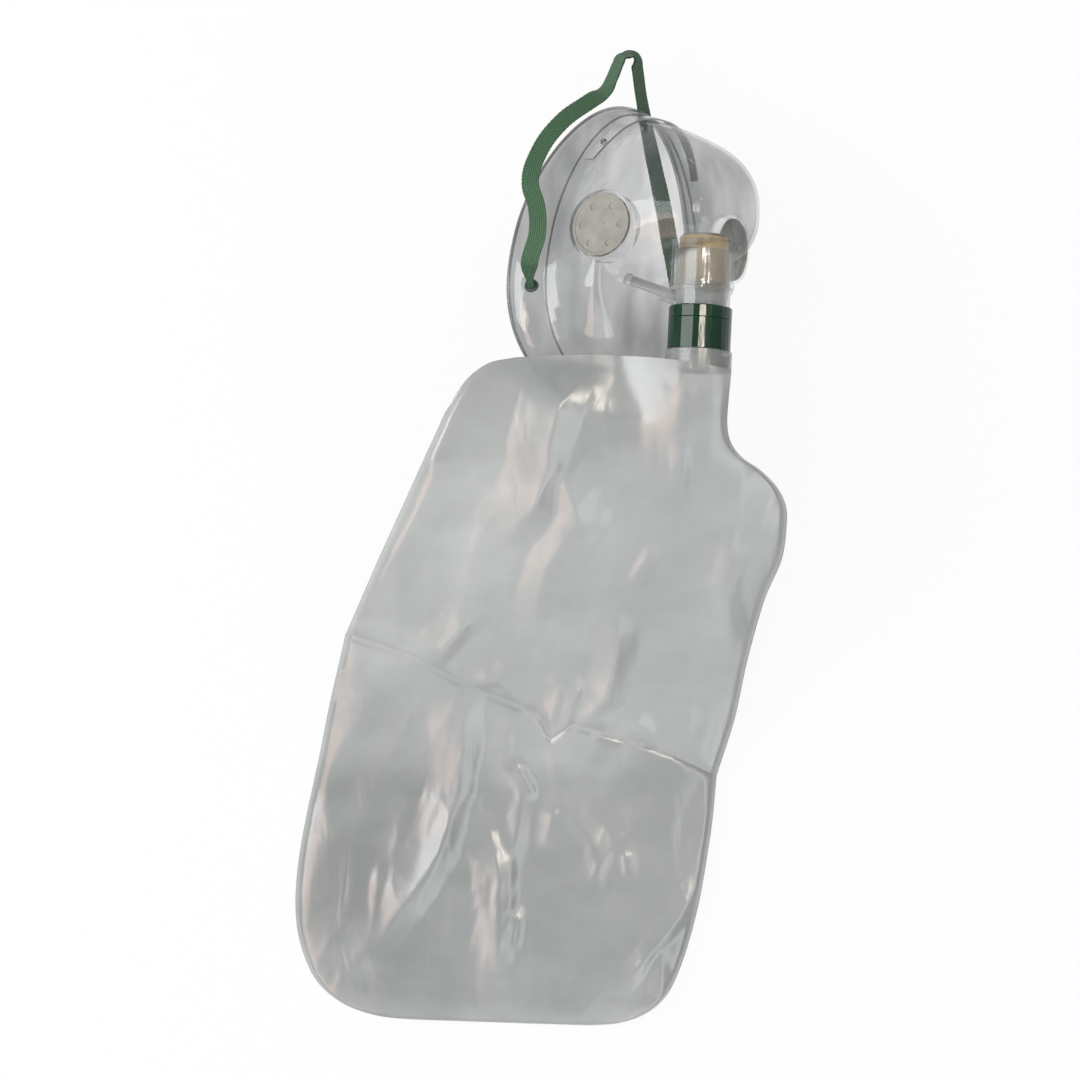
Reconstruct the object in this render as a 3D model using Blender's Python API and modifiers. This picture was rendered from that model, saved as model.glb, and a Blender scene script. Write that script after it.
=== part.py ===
"""Oxygen face mask with a reservoir bag, lying on a table as it comes to rest.

The clear mask lies on the far edge of its rim with the snout up. The bag leaves the snout's
connector, rests over the chin of the mask and slopes down to the table. Metres, +Z up.
The mask frame has x from ear to ear, y from chin to nose and z out of the face. The neck frame
has z along the neck, towards the nose.
"""

import math

import bmesh
import bpy
from mathutils import Matrix, Vector

MM = 0.001
COLLECTION = "oxygen_face_mask"
CLEARANCE = 0.3 * MM
# How far a cut runs past the faces that it opens
THROUGH = 9.0 * MM

# How the mask lies: turned about the vertical of the photograph, then pitched and rolled
MASK_TURN = math.radians(49.0)
MASK_PITCH = math.radians(-4.0)
MASK_ROLL = math.radians(-3.0)
MASK_AT = Vector((38.2, 124.7)) * MM
REST_GAP = 0.1 * MM

# Mask shell
WALL = 1.4 * MM
RIM_SAG = 14.0 * MM
RIM_SAG_REACH = 30.0 * MM
RING_POINTS = 36
RIM_HALF_WIDTH = 55.0 * MM
RIM_EDGE_DEPTH = -3.0 * MM
# Each section, mm: depth out of the face, half width, top, bottom, then squareness and taper
SECTIONS = (
    (-3.0, 58.0, 68.2, -70.0, 2.30, 0.30),
    (0.0, 57.6, 67.9, -69.7, 2.30, 0.30),
    (2.6, 54.2, 66.4, -67.2, 2.30, 0.31),
    (4.4, 50.2, 64.8, -63.8, 2.30, 0.33),
    (7.6, 47.6, 63.4, -60.5, 2.35, 0.35),
    (13.0, 46.6, 61.8, -57.0, 2.40, 0.37),
    (18.0, 46.3, 60.2, -52.0, 2.45, 0.38),
    (22.0, 46.1, 58.8, -46.0, 2.50, 0.38),
    (24.6, 45.9, 58.0, -40.0, 2.55, 0.38),
    (26.2, 45.6, 57.4, -32.5, 2.60, 0.38),
    (27.8, 45.2, 56.7, -24.0, 2.60, 0.38),
    (31.5, 44.0, 55.4, -17.5, 2.60, 0.38),
    (38.0, 41.0, 52.8, -12.0, 2.55, 0.36),
    (45.5, 36.6, 49.6, -7.5, 2.50, 0.33),
    (53.0, 31.4, 45.6, -4.5, 2.50, 0.28),
    (59.0, 26.0, 40.8, -2.0, 2.50, 0.20),
    (64.0, 20.0, 34.8, 1.5, 2.45, 0.12),
    (67.6, 12.3, 28.4, 6.5, 2.30, 0.05),
    (69.4, 4.6, 22.4, 12.6, 2.00, 0.00),
)
EGG_LOW = -70.0 * MM
EGG_SPAN = 138.0 * MM

# Neck and what is stacked in it, as heights along the neck from the mask frame's origin
NECK_OUT = 50.0 * MM
NECK_RADIUS = 13.6 * MM
NECK_WALL = 1.2 * MM
NECK_TOP = 4.0 * MM
NECK_BOTTOM = -16.3 * MM
NECK_BEAD = 0.6 * MM
NECK_BEAD_HEIGHT = 2.2 * MM
TURN_STEPS = 32
# A part of a facet, so that no edge of the neck meets the mask's middle line
NECK_FACET_TURN = math.radians(3.1)
SMALL_STEPS = 8

# Adapter between the neck and the bag
ADAPTER_TOP = 0.0 * MM
ADAPTER_WALL = 1.3 * MM
ADAPTER_BODY_RADIUS = 12.6 * MM
ADAPTER_SHOULDER_HEIGHT = 1.6 * MM
COLLAR_TOP = -24.8 * MM
COLLAR_HEIGHT = 18.8 * MM
COLLAR_WALL = 0.9 * MM
COLLAR_STEP_BELOW_TOP = 5.4 * MM
COLLAR_STEP = 0.25 * MM
ADAPTER_FOOT_RADIUS = 13.6 * MM
ADAPTER_FOOT_HEIGHT = 2.4 * MM

# Oxygen inlet nipple on the adapter
NIPPLE_HEIGHT = -20.9 * MM
NIPPLE_LENGTH = 24.0 * MM
NIPPLE_RADIUS = 2.4 * MM
NIPPLE_TIP_RADIUS = 3.0 * MM
NIPPLE_TIP_LENGTH = 2.5 * MM
NIPPLE_BORE = 1.4 * MM
NIPPLE_BEARING = math.radians(152.0)
NIPPLE_RISE = math.radians(15.0)
NIPPLE_STEPS = 12
GUSSET_LENGTH = 7.0 * MM
GUSSET_HEIGHT = 3.0 * MM
GUSSET_THICKNESS = 1.4 * MM

# Inhalation valve inside the adapter
SEAT_TOP_ABOVE_ADAPTER = 5.7 * MM
SEAT_LENGTH = 20.0 * MM
SEAT_WALL = 1.1 * MM
SEAT_FLOOR = 1.4 * MM
SEAT_HUB_RADIUS = 2.8 * MM
SEAT_SLOTS = 4
SEAT_SLOT_GAP = math.radians(24.0)
FLAP_THICKNESS = 0.8 * MM
FLAP_STUD_RADIUS = 1.0 * MM
FLAP_BARB_RADIUS = 1.8 * MM
FLAP_BARB_HEIGHT = 1.2 * MM

# Bag flange under the adapter
FLANGE_RADIUS = 13.6 * MM
FLANGE_THICKNESS = 5.6 * MM
FLANGE_BORE = 9.5 * MM

# Exhalation ports on both cheeks
PORT_SECTION = 9.4
PORT_TURN = math.radians(184.5)
PORT_RADIUS = 15.4 * MM
PORT_LIP = 1.2 * MM
PORT_STAND = 0.9 * MM
PORT_SKIRT = 7.5 * MM
PORT_PLATE_DROP = 1.0 * MM
PORT_PLATE = 1.2 * MM
PORT_HOLES = 6
PORT_HOLE_RADIUS = 2.1 * MM
PORT_HOLE_CIRCLE = 9.4 * MM
PORT_CENTRE_HOLE = 1.3 * MM
PORT_STEPS = 26
VENT_FLAP_THICKNESS = 0.8 * MM
VENT_FLAP_RIM = 0.9 * MM
VENT_FLAP_RIM_RISE = 0.4 * MM
VENT_DIMPLE_RADIUS = 1.9 * MM
VENT_DIMPLE_DEPTH = 0.45 * MM

# Nose clip and its two moulded studs
CLIP_HALF_SPAN = math.radians(56.0)
CLIP_SECTION_MID = 5.6
CLIP_SECTION_END = 4.4
CLIP_WIDTH = 5.0 * MM
CLIP_THICKNESS = 0.8 * MM
CLIP_LIFT = 0.5 * MM
CLIP_PIECES = 16
STUD_RADIUS = 1.3 * MM
STUD_PROUD = 1.0 * MM
STUD_FROM_END = 0.10

# Eyelets for the strap
EYELET_SECTION = 2.15
EYELET_TURN = math.radians(192.0)
EYELET_RADIUS = 4.3 * MM
EYELET_HOLE = 2.5 * MM
EYELET_STAND = 1.0 * MM
EYELET_STEPS = 16

# Elastic strap: its route from the near eyelet over the loop to the far eyelet
STRAP_WIDTH = 8.0 * MM
STRAP_THICKNESS = 1.0 * MM
STRAP_END_SHARE = 0.38
KNOT_RADIUS = 3.4 * MM
# How far each knot's centre stands off its eyelet, as a share of the knot's radius
KNOT_SEAT = 0.6
STRAP_LEAD = 3.5 * MM
# Free run of the strap in the world, in millimetres, with its turn about its own length
STRAP_ROUTE = (
    (-4.6, 121.0, 79.0, 0.0),
    (-1.2, 133.6, 82.5, 0.0),
    (-1.4, 144.7, 82.0, 4.0),
    (-4.2, 155.8, 79.0, 8.0),
    (-1.2, 168.0, 74.0, 12.0),
    (8.8, 183.0, 67.0, 15.0),
    (22.5, 194.0, 59.0, 20.0),
    (29.0, 199.6, 54.0, 35.0),
    (32.6, 206.0, 50.5, 50.0),
    (35.4, 213.0, 47.0, 55.0),
    (39.8, 215.6, 44.0, 58.0),
    (44.2, 212.0, 40.0, 58.0),
    (45.9, 200.0, 34.0, 50.0),
    (47.8, 186.0, 26.0, 42.0),
    (51.4, 170.9, 18.0, 30.0),
    (56.5, 148.9, 11.0, 15.0),
    (60.0, 131.0, 8.0, 5.0),
)

# Reservoir bag
BAG_SEAM = 0.8 * MM
BAG_NECK_WALL = 0.7 * MM
BAG_NECK_TAPER = 10.0 * MM
BAG_TOP_BOW = 3.5 * MM
BAG_PUFF = 10.0 * MM
BAG_NECK_NARROW = 0.8
BAG_ROWS = 42
BAG_COLUMNS = 28
BAG_ROW_PITCH = 6.7 * MM
BAG_SHELF = 81.0 * MM
BAG_SHELF_END = 60.0 * MM
BAG_SLOPE_LENGTH = 180.0 * MM
BAG_NECK_BLEND = 60.0 * MM
# The film's tent over the neck: half its flat top and its slopes, in flange radii
BAG_TENT_FLAT = 0.3
BAG_TENT_REACH = 2.4
BAG_SEAM_LIFT = 0.8
# How fast the film fills out below its top edge, and how squarely it closes at its bottom edge
BAG_TOP_FILL = 0.08
BAG_BOTTOM_FILL = 8
BAG_BOW_FADE = 0.2
# Outline of the bag in the world, in millimetres: both long sides from the top to the crease
BAG_LEFT_UPPER = (
    (-10.9, 79.2), (-22.6, 76.6), (-32.6, 68.8), (-40.5, 56.6), (-45.3, 46.6),
    (-58.3, 19.3), (-87.4, -41.2),
)
BAG_RIGHT_UPPER = (
    (82.5, 73.5), (81.4, 60.9), (81.0, 50.1), (82.8, 42.3), (88.1, 35.8), (96.1, 30.6),
    (103.7, 23.2), (107.9, 15.4), (108.7, 6.6), (107.1, -8.8), (100.3, -26.7),
    (93.7, -54.1), (88.7, -81.8), (80.9, -108.3),
)
BAG_LEFT_LOWER = (
    (-87.4, -41.2), (-95.2, -72.6), (-101.3, -100.4), (-107.4, -128.0), (-111.1, -150.9),
    (-112.0, -169.2), (-109.7, -185.2), (-102.9, -201.2), (-91.4, -211.7), (-75.4, -217.2),
)
BAG_RIGHT_LOWER = (
    (80.9, -108.3), (79.1, -128.0), (76.4, -146.3), (73.2, -164.6), (68.6, -182.9),
    (64.0, -196.6), (58.5, -208.0), (50.3, -216.3), (40.2, -221.3),
)
CREASE_SHARE = 0.42
CREASE_DEPTH = 2.4 * MM
CREASE_WIDTH = 4.0 * MM
# Folds of the upper film: the ridge's places in millimetres from the neck end down, then how far
# its left and right flanks reach and how high it stands
FOLDS = (
    (((22.6, 74.6), (8.7, 58.5), (4.4, 41.3), (3.5, 30.5), (-2.2, 15.3), (-14.0, 0.9)), 15.0, 8.0, 4.6),
    (((35.6, -32.0), (34.5, -49.3), (29.9, -72.3), (16.8, -83.4)), 10.0, 7.0, 3.2),
    (
        ((-35.2, -67.6), (-34.5, -90.8), (-36.4, -113.9), (-45.6, -141.3), (-57.0, -159.5),
         (-75.2, -186.8)),
        15.0, 7.0, 4.6,
    ),
    (((-21.9, -132.1), (-18.2, -154.9), (-19.1, -177.7), (-20.0, -196.9)), 12.0, 7.0, 3.8),
    (((7.3, -120.8), (2.3, -141.3)), 8.0, 7.0, 2.4),
    (((74.8, -153.1), (63.8, -170.9), (51.1, -186.8), (38.8, -202.8)), 8.0, 6.0, 2.6),
    (((-44.6, 47.7), (-47.0, 26.2), (-59.2, 2.2), (-74.5, -24.4)), 7.0, 11.0, 2.6),
    (
        ((21.7, 40.4), (11.4, 23.6), (16.7, 8.8), (2.2, -13.2), (-2.2, -31.1), (0.0, -49.3)),
        8.0, 12.0, 3.4,
    ),
    (((85.5, 4.4), (80.6, -19.9), (86.5, -49.3)), 7.0, 8.0, 2.0),
    (((-48.5, -54.7), (-29.4, -33.8)), 7.0, 12.0, 2.8),
)

COLOURS = {
    "clear": ((0.72, 0.74, 0.74, 1.0), 0.15, 0.0),
    "film": ((0.62, 0.64, 0.65, 1.0), 0.35, 0.0),
    "cream": ((0.62, 0.56, 0.44, 1.0), 0.5, 0.0),
    "green": ((0.03, 0.09, 0.05, 1.0), 0.4, 0.0),
    "strap": ((0.07, 0.16, 0.08, 1.0), 0.6, 0.0),
    "aluminium": ((0.75, 0.75, 0.74, 1.0), 0.35, 1.0),
}


def clear_scene():
    """Takes every object out of the open scene."""
    for obj in list(bpy.data.objects):
        bpy.data.objects.remove(obj, do_unlink=True)


def make_collection(name):
    """A collection linked to the scene."""
    collection = bpy.data.collections.new(name)
    bpy.context.scene.collection.children.link(collection)
    return collection


def make_material(name, colour, roughness, metallic):
    """A Principled material of one colour."""
    material = bpy.data.materials.new(name)
    material.use_nodes = True
    shader = material.node_tree.nodes["Principled BSDF"]
    shader.inputs["Base Color"].default_value = colour
    shader.inputs["Roughness"].default_value = roughness
    shader.inputs["Metallic"].default_value = metallic
    return material


def make_object(name, bm, parts, material, parent=None, smooth_angle=35.0):
    """A named object from a bmesh, smooth except at its sharp edges."""
    mesh = bpy.data.meshes.new(name)
    bm.to_mesh(mesh)
    bm.free()
    mesh.shade_smooth()
    mesh.set_sharp_from_angle(angle=math.radians(smooth_angle))
    obj = bpy.data.objects.new(name, mesh)
    if material:
        mesh.materials.append(material)
    parts.objects.link(obj)
    obj.parent = parent
    return obj


def hide_cutter(obj):
    """Marks an object that only shapes others."""
    obj.hide_render = True
    obj.display_type = "WIRE"
    return obj


def add_boolean(obj, other, operation, name):
    """An exact Boolean modifier on an object."""
    modifier = obj.modifiers.new(name, "BOOLEAN")
    modifier.object = other
    modifier.operation = operation
    modifier.solver = "EXACT"
    return modifier


def turned(name, profile, parts, material, parent, steps=TURN_STEPS):
    """A solid turned about Z; the profile runs from top to bottom on its outer side."""
    bm = bmesh.new()
    points = [bm.verts.new((radius, 0.0, height)) for radius, height in profile]
    on_axis = profile[0][0] == 0.0 and profile[-1][0] == 0.0
    pairs = list(zip(points, points[1:]))
    if not on_axis:
        pairs.append((points[-1], points[0]))
    for start, end in pairs:
        bm.edges.new((start, end))
    obj = make_object(name, bm, parts, material, parent)
    screw = obj.modifiers.new("turn", "SCREW")
    screw.axis = "Z"
    screw.angle = math.tau
    screw.steps = steps
    screw.render_steps = steps
    screw.use_merge_vertices = True
    screw.merge_threshold = 0.00001
    screw.use_smooth_shade = True
    return obj


def rod(bm, start, end, radius_start, radius_end, steps):
    """A closed cone or cylinder between two points, added to a bmesh."""
    axis = end - start
    turn = axis.to_track_quat("Z", "Y").to_matrix().to_4x4()
    matrix = Matrix.Translation((start + end) / 2) @ turn
    bmesh.ops.create_cone(
        bm,
        cap_ends=True,
        segments=steps,
        radius1=radius_start,
        radius2=radius_end,
        depth=axis.length,
        matrix=matrix,
    )


def mask_matrix():
    """Where the mask frame lies in the world, with the far edge of its rim on the table."""
    turn = (
        Matrix.Rotation(MASK_ROLL, 4, "Z")
        @ Matrix.Rotation(MASK_PITCH, 4, "X")
        @ Matrix.Rotation(math.pi / 2 - MASK_TURN, 4, "Y")
    )
    rim = [wall_point(0.0, math.tau * step / RING_POINTS) for step in range(RING_POINTS)]
    lowest = min((turn @ point).z for point in rim)
    return Matrix.Translation((MASK_AT.x, MASK_AT.y, REST_GAP - lowest)) @ turn


def neck_matrix():
    """Where the neck frame lies in the mask frame."""
    return Matrix.Translation((0, 0, NECK_OUT)) @ Matrix.Rotation(-math.pi / 2, 4, "X")


def make_empty(name, matrix, parts, parent=None):
    """An empty that carries the pieces of one frame."""
    empty = bpy.data.objects.new(name, None)
    parts.objects.link(empty)
    empty.parent = parent
    empty.matrix_local = matrix
    return empty


def section_at(place):
    """The section at a place between the rows of SECTIONS."""
    row = min(int(place), len(SECTIONS) - 2)
    share = place - row
    return [a + (b - a) * share for a, b in zip(SECTIONS[row], SECTIONS[row + 1])]


def wall_point(place, turn):
    """A point on the outer face of the mask: which section, and how far round it."""
    depth, half_width, top, bottom, square, taper = section_at(place)
    middle = (top + bottom) / 2
    height = (top - bottom) / 2
    side, rise = math.cos(turn), math.sin(turn)
    across = math.copysign(abs(side) ** (2 / square), side)
    up = math.copysign(abs(rise) ** (2 / square), rise)
    y = middle * MM + up * height * MM
    narrow = 1.0 - taper * ((y - EGG_LOW) / EGG_SPAN) ** 2
    x = across * narrow * half_width * MM
    fade = 1.0 - min(1.0, (depth * MM - RIM_EDGE_DEPTH) / RIM_SAG_REACH)
    sag = RIM_SAG * fade**1.5 * (x / RIM_HALF_WIDTH) ** 2
    return Vector((x, y, depth * MM - sag))


def wall_normal(place, turn):
    """The outward direction of the mask's outer face."""
    step = 0.05
    along = wall_point(place + step, turn) - wall_point(place - step, turn)
    around = wall_point(place, turn + step) - wall_point(place, turn - step)
    return around.cross(along).normalized()


def wall_frame(place, turn):
    """A frame on the mask's outer face, with z outwards."""
    normal = wall_normal(place, turn)
    side = Vector((0, 1, 0)).cross(normal).normalized()
    up = normal.cross(side)
    matrix = Matrix((side, up, normal)).transposed().to_4x4()
    matrix.translation = wall_point(place, turn)
    return matrix


def both_sides(turn):
    """The same place on the near and the far cheek."""
    return (("left", turn), ("right", math.pi - turn))


def mask_surface(bm):
    """The open outer surface of the mask: a loft from the rim to the front of the snout."""
    rings = []
    for row in range(len(SECTIONS)):
        turns = [math.tau * step / RING_POINTS for step in range(RING_POINTS)]
        rings.append([bm.verts.new(wall_point(float(row), turn)) for turn in turns])
    for lower, upper in zip(rings, rings[1:]):
        for step in range(RING_POINTS):
            after = (step + 1) % RING_POINTS
            bm.faces.new((lower[step], lower[after], upper[after], upper[step]))
    bm.faces.new(rings[-1])


def port_profile():
    """The turned section of an exhalation port: lip, skirt and the plate under the flap."""
    lip_inner = PORT_RADIUS - PORT_LIP
    plate_bottom = -PORT_PLATE_DROP - PORT_PLATE
    return [
        (0.0, -PORT_PLATE_DROP),
        (lip_inner, -PORT_PLATE_DROP),
        (lip_inner, PORT_STAND),
        (PORT_RADIUS, PORT_STAND),
        (PORT_RADIUS, -PORT_SKIRT),
        (PORT_RADIUS - PORT_LIP / 2, -PORT_SKIRT),
        (PORT_RADIUS - PORT_LIP / 2, plate_bottom),
        (0.0, plate_bottom),
    ]


def port_holes(bm, frame):
    """The ring of holes and the centre hole through one port plate."""
    deep = PORT_SKIRT * 2
    for index in range(PORT_HOLES + 1):
        angle = math.tau * index / PORT_HOLES
        reach = PORT_HOLE_CIRCLE if index < PORT_HOLES else 0.0
        radius = PORT_HOLE_RADIUS if index < PORT_HOLES else PORT_CENTRE_HOLE
        x, y = reach * math.cos(angle), reach * math.sin(angle)
        start, end = frame @ Vector((x, y, -deep)), frame @ Vector((x, y, deep))
        rod(bm, start, end, radius, radius, SMALL_STEPS)


def stud_places():
    """The two ends of the nose clip where the moulded studs stand."""
    share = 1.0 - 2.0 * STUD_FROM_END
    return [clip_place(-share), clip_place(share)]


def clip_place(share):
    """The section and turn of the nose clip's middle line, from -1 to 1 along it."""
    place = CLIP_SECTION_MID + (CLIP_SECTION_END - CLIP_SECTION_MID) * share**2
    return place, math.pi / 2 - CLIP_HALF_SPAN * share


def build_mask_shell(parts, cutters, frame, neck, materials):
    """The one-piece mask: rim, cheeks, snout, neck, ports, studs and eyelets."""
    bm = bmesh.new()
    mask_surface(bm)
    bmesh.ops.recalc_face_normals(bm, faces=bm.faces)
    shell = make_object("mask_shell", bm, parts, materials["clear"], frame, 60.0)
    wall = shell.modifiers.new("wall", "SOLIDIFY")
    wall.thickness = WALL
    wall.offset = -1.0
    wall.use_even_offset = True

    bm = bmesh.new()
    for _side, turn in both_sides(PORT_TURN):
        place = wall_frame(PORT_SECTION, turn)
        radius = PORT_RADIUS - PORT_LIP / 4
        start = place @ Vector((0, 0, -PORT_SKIRT * 2))
        end = place @ Vector((0, 0, PORT_SKIRT * 2))
        rod(bm, start, end, radius, radius, PORT_STEPS)
    cut = hide_cutter(make_object("port_cut", bm, cutters, None, frame))
    add_boolean(shell, cut, "DIFFERENCE", "port_cut")
    for side, turn in both_sides(PORT_TURN):
        port = turned(f"port_form_{side}", port_profile(), cutters, None, frame, PORT_STEPS)
        port.matrix_local = wall_frame(PORT_SECTION, turn)
        hide_cutter(port)
        add_boolean(shell, port, "UNION", f"port_{side}")

    bm = bmesh.new()
    for place, turn in stud_places():
        stand = wall_frame(place, turn)
        top = CLIP_LIFT + CLIP_THICKNESS + STUD_PROUD
        start, end = stand @ Vector((0, 0, -WALL / 2)), stand @ Vector((0, 0, top))
        rod(bm, start, end, STUD_RADIUS, STUD_RADIUS, SMALL_STEPS)
    studs = hide_cutter(make_object("stud_forms", bm, cutters, None, frame))
    add_boolean(shell, studs, "UNION", "studs")
    bm = bmesh.new()
    for _side, turn in both_sides(EYELET_TURN):
        stand = wall_frame(EYELET_SECTION, turn)
        start = stand @ Vector((0, 0, -WALL - EYELET_STAND / 2))
        end = stand @ Vector((0, 0, EYELET_STAND))
        rod(bm, start, end, EYELET_RADIUS, EYELET_RADIUS, EYELET_STEPS)
    eyelets = hide_cutter(make_object("eyelet_forms", bm, cutters, None, frame))
    add_boolean(shell, eyelets, "UNION", "eyelets")
    bm = bmesh.new()
    for _side, turn in both_sides(EYELET_TURN):
        stand = wall_frame(EYELET_SECTION, turn)
        start, end = stand @ Vector((0, 0, -THROUGH)), stand @ Vector((0, 0, THROUGH))
        rod(bm, start, end, EYELET_HOLE, EYELET_HOLE, EYELET_STEPS)
    for _side, turn in both_sides(PORT_TURN):
        port_holes(bm, wall_frame(PORT_SECTION, turn))
    holes = hide_cutter(make_object("hole_cuts", bm, cutters, None, frame))
    add_boolean(shell, holes, "DIFFERENCE", "holes")

    inner = NECK_RADIUS - NECK_WALL
    bead_top = NECK_BOTTOM + NECK_BEAD_HEIGHT
    profile = [
        (0.0, NECK_TOP),
        (NECK_RADIUS, NECK_TOP),
        (NECK_RADIUS, bead_top),
        (NECK_RADIUS + NECK_BEAD, bead_top - NECK_BEAD),
        (NECK_RADIUS + NECK_BEAD, NECK_BOTTOM),
        (0.0, NECK_BOTTOM),
    ]
    tube = hide_cutter(turned("neck_form", profile, cutters, None, neck))
    tube.rotation_euler.z = NECK_FACET_TURN
    add_boolean(shell, tube, "UNION", "neck")
    bm = bmesh.new()
    low, high = Vector((0, 0, NECK_BOTTOM - MM)), Vector((0, 0, NECK_TOP + MM))
    rod(bm, low, high, inner, inner, TURN_STEPS)
    bore = hide_cutter(make_object("neck_bore", bm, cutters, None, neck))
    bore.rotation_euler.z = NECK_FACET_TURN
    add_boolean(shell, bore, "DIFFERENCE", "neck_bore")
    return shell


def build_vent_flaps(parts, cutters, frame, materials):
    """The two silicone discs that lie in the ports, each with six dimples and a stud."""
    outer = PORT_RADIUS - PORT_LIP - CLEARANCE
    under = -PORT_PLATE_DROP + CLEARANCE
    top = under + VENT_FLAP_THICKNESS
    stem = PORT_CENTRE_HOLE - CLEARANCE
    barb = -PORT_PLATE_DROP - PORT_PLATE - CLEARANCE
    profile = [
        (0.0, top + VENT_FLAP_RIM_RISE),
        (stem, top + VENT_FLAP_RIM_RISE),
        (stem * 2.0, top),
        (outer - VENT_FLAP_RIM * 1.5, top),
        (outer - VENT_FLAP_RIM, top + VENT_FLAP_RIM_RISE),
        (outer, top + VENT_FLAP_RIM_RISE),
        (outer, under),
        (stem, under),
        (stem, barb),
        (stem * 1.8, barb),
        (stem, barb - FLAP_BARB_HEIGHT),
        (0.0, barb - FLAP_BARB_HEIGHT),
    ]
    for side, turn in both_sides(PORT_TURN):
        flap = turned(f"vent_flap_{side}", profile, parts, materials["cream"], frame, PORT_STEPS)
        flap.matrix_local = wall_frame(PORT_SECTION, turn)
        bm = bmesh.new()
        for index in range(PORT_HOLES):
            angle = math.tau * index / PORT_HOLES
            x, y = PORT_HOLE_CIRCLE * math.cos(angle), PORT_HOLE_CIRCLE * math.sin(angle)
            start = Vector((x, y, top - VENT_DIMPLE_DEPTH))
            end = Vector((x, y, top + MM))
            rod(bm, start, end, VENT_DIMPLE_RADIUS * 0.75, VENT_DIMPLE_RADIUS * 1.3, SMALL_STEPS)
        dimples = make_object(f"dimple_cuts_{side}", bm, cutters, None, frame)
        dimples.matrix_local = wall_frame(PORT_SECTION, turn)
        hide_cutter(dimples)
        add_boolean(flap, dimples, "DIFFERENCE", "dimples")


def build_nose_clip(parts, cutters, frame, materials):
    """The soft metal strip over the bridge of the nose, bent to the shell."""
    bm = bmesh.new()
    columns = []
    for index in range(CLIP_PIECES + 1):
        place, turn = clip_place(2.0 * index / CLIP_PIECES - 1.0)
        stand = wall_frame(place, turn)
        ahead = Vector(wall_point(place + 0.05, turn) - wall_point(place - 0.05, turn))
        ahead.normalize()
        lift = stand @ Vector((0, 0, CLIP_LIFT))
        half = ahead * CLIP_WIDTH / 2
        columns.append((bm.verts.new(lift - half), bm.verts.new(lift + half)))
    for (low, high), (next_low, next_high) in zip(columns, columns[1:]):
        bm.faces.new((low, high, next_high, next_low))
    clip = make_object("nose_clip", bm, parts, materials["aluminium"], frame)
    thick = clip.modifiers.new("strip", "SOLIDIFY")
    thick.thickness = CLIP_THICKNESS
    thick.offset = 1.0
    bm = bmesh.new()
    for place, turn in stud_places():
        stand = wall_frame(place, turn)
        start, end = stand @ Vector((0, 0, -3 * MM)), stand @ Vector((0, 0, 5 * MM))
        radius = STUD_RADIUS + CLEARANCE
        rod(bm, start, end, radius, radius, SMALL_STEPS)
    cuts = hide_cutter(make_object("clip_holes", bm, cutters, None, frame))
    add_boolean(clip, cuts, "DIFFERENCE", "stud_holes")


def build_adapter(parts, cutters, neck, materials):
    """The clear adapter: spigot, shoulder, body, foot and the oxygen inlet nipple."""
    spigot = NECK_RADIUS - NECK_WALL - CLEARANCE
    bore = spigot - ADAPTER_WALL
    shoulder_top = NECK_BOTTOM - CLEARANCE
    shoulder_bottom = shoulder_top - ADAPTER_SHOULDER_HEIGHT
    foot_top = COLLAR_TOP - COLLAR_HEIGHT - CLEARANCE
    foot_bottom = foot_top - ADAPTER_FOOT_HEIGHT
    profile = [
        (spigot, ADAPTER_TOP),
        (spigot, shoulder_top),
        (NECK_RADIUS, shoulder_top),
        (NECK_RADIUS, shoulder_bottom),
        (ADAPTER_BODY_RADIUS, shoulder_bottom),
        (ADAPTER_BODY_RADIUS, foot_top),
        (ADAPTER_FOOT_RADIUS, foot_top),
        (ADAPTER_FOOT_RADIUS, foot_bottom),
        (bore, foot_bottom),
        (bore, ADAPTER_TOP),
    ]
    adapter = turned("bag_adapter", profile, parts, materials["clear"], neck)

    bearing = Vector((math.cos(NIPPLE_BEARING), math.sin(NIPPLE_BEARING), 0.0))
    along = bearing * math.cos(NIPPLE_RISE) + Vector((0, 0, math.sin(NIPPLE_RISE)))
    root = Vector((0, 0, NIPPLE_HEIGHT)) + bearing * (bore + ADAPTER_WALL / 2)
    tip = root + along * NIPPLE_LENGTH
    bm = bmesh.new()
    rod(bm, root, tip, NIPPLE_RADIUS, NIPPLE_RADIUS * 0.9, NIPPLE_STEPS)
    tube = hide_cutter(make_object("nipple_form", bm, cutters, None, neck))
    add_boolean(adapter, tube, "UNION", "nipple")
    bm = bmesh.new()
    barb = tip - along * NIPPLE_TIP_LENGTH
    rod(bm, barb, tip, NIPPLE_TIP_RADIUS, NIPPLE_RADIUS * 0.9, NIPPLE_STEPS)
    ring = hide_cutter(make_object("barb_form", bm, cutters, None, neck))
    add_boolean(adapter, ring, "UNION", "barb")

    bm = bmesh.new()
    bmesh.ops.create_cube(bm, size=1.0)
    gusset = hide_cutter(make_object("gusset_form", bm, cutters, None, neck))
    size = Vector((GUSSET_LENGTH, GUSSET_THICKNESS, GUSSET_HEIGHT))
    turn = Matrix.Rotation(NIPPLE_BEARING, 4, "Z") @ Matrix.Rotation(-NIPPLE_RISE, 4, "Y")
    middle = root + bearing * GUSSET_LENGTH / 2 - Vector((0, 0, GUSSET_HEIGHT / 2))
    gusset.matrix_local = Matrix.Translation(middle) @ turn @ Matrix.Diagonal(size).to_4x4()
    add_boolean(adapter, gusset, "UNION", "gusset")
    bm = bmesh.new()
    inward = root - along * ADAPTER_WALL * 2
    rod(bm, inward, tip + along * MM, NIPPLE_BORE, NIPPLE_BORE, NIPPLE_STEPS)
    hole = hide_cutter(make_object("nipple_bore", bm, cutters, None, neck))
    add_boolean(adapter, hole, "DIFFERENCE", "nipple_bore")
    return bore, foot_bottom


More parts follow.
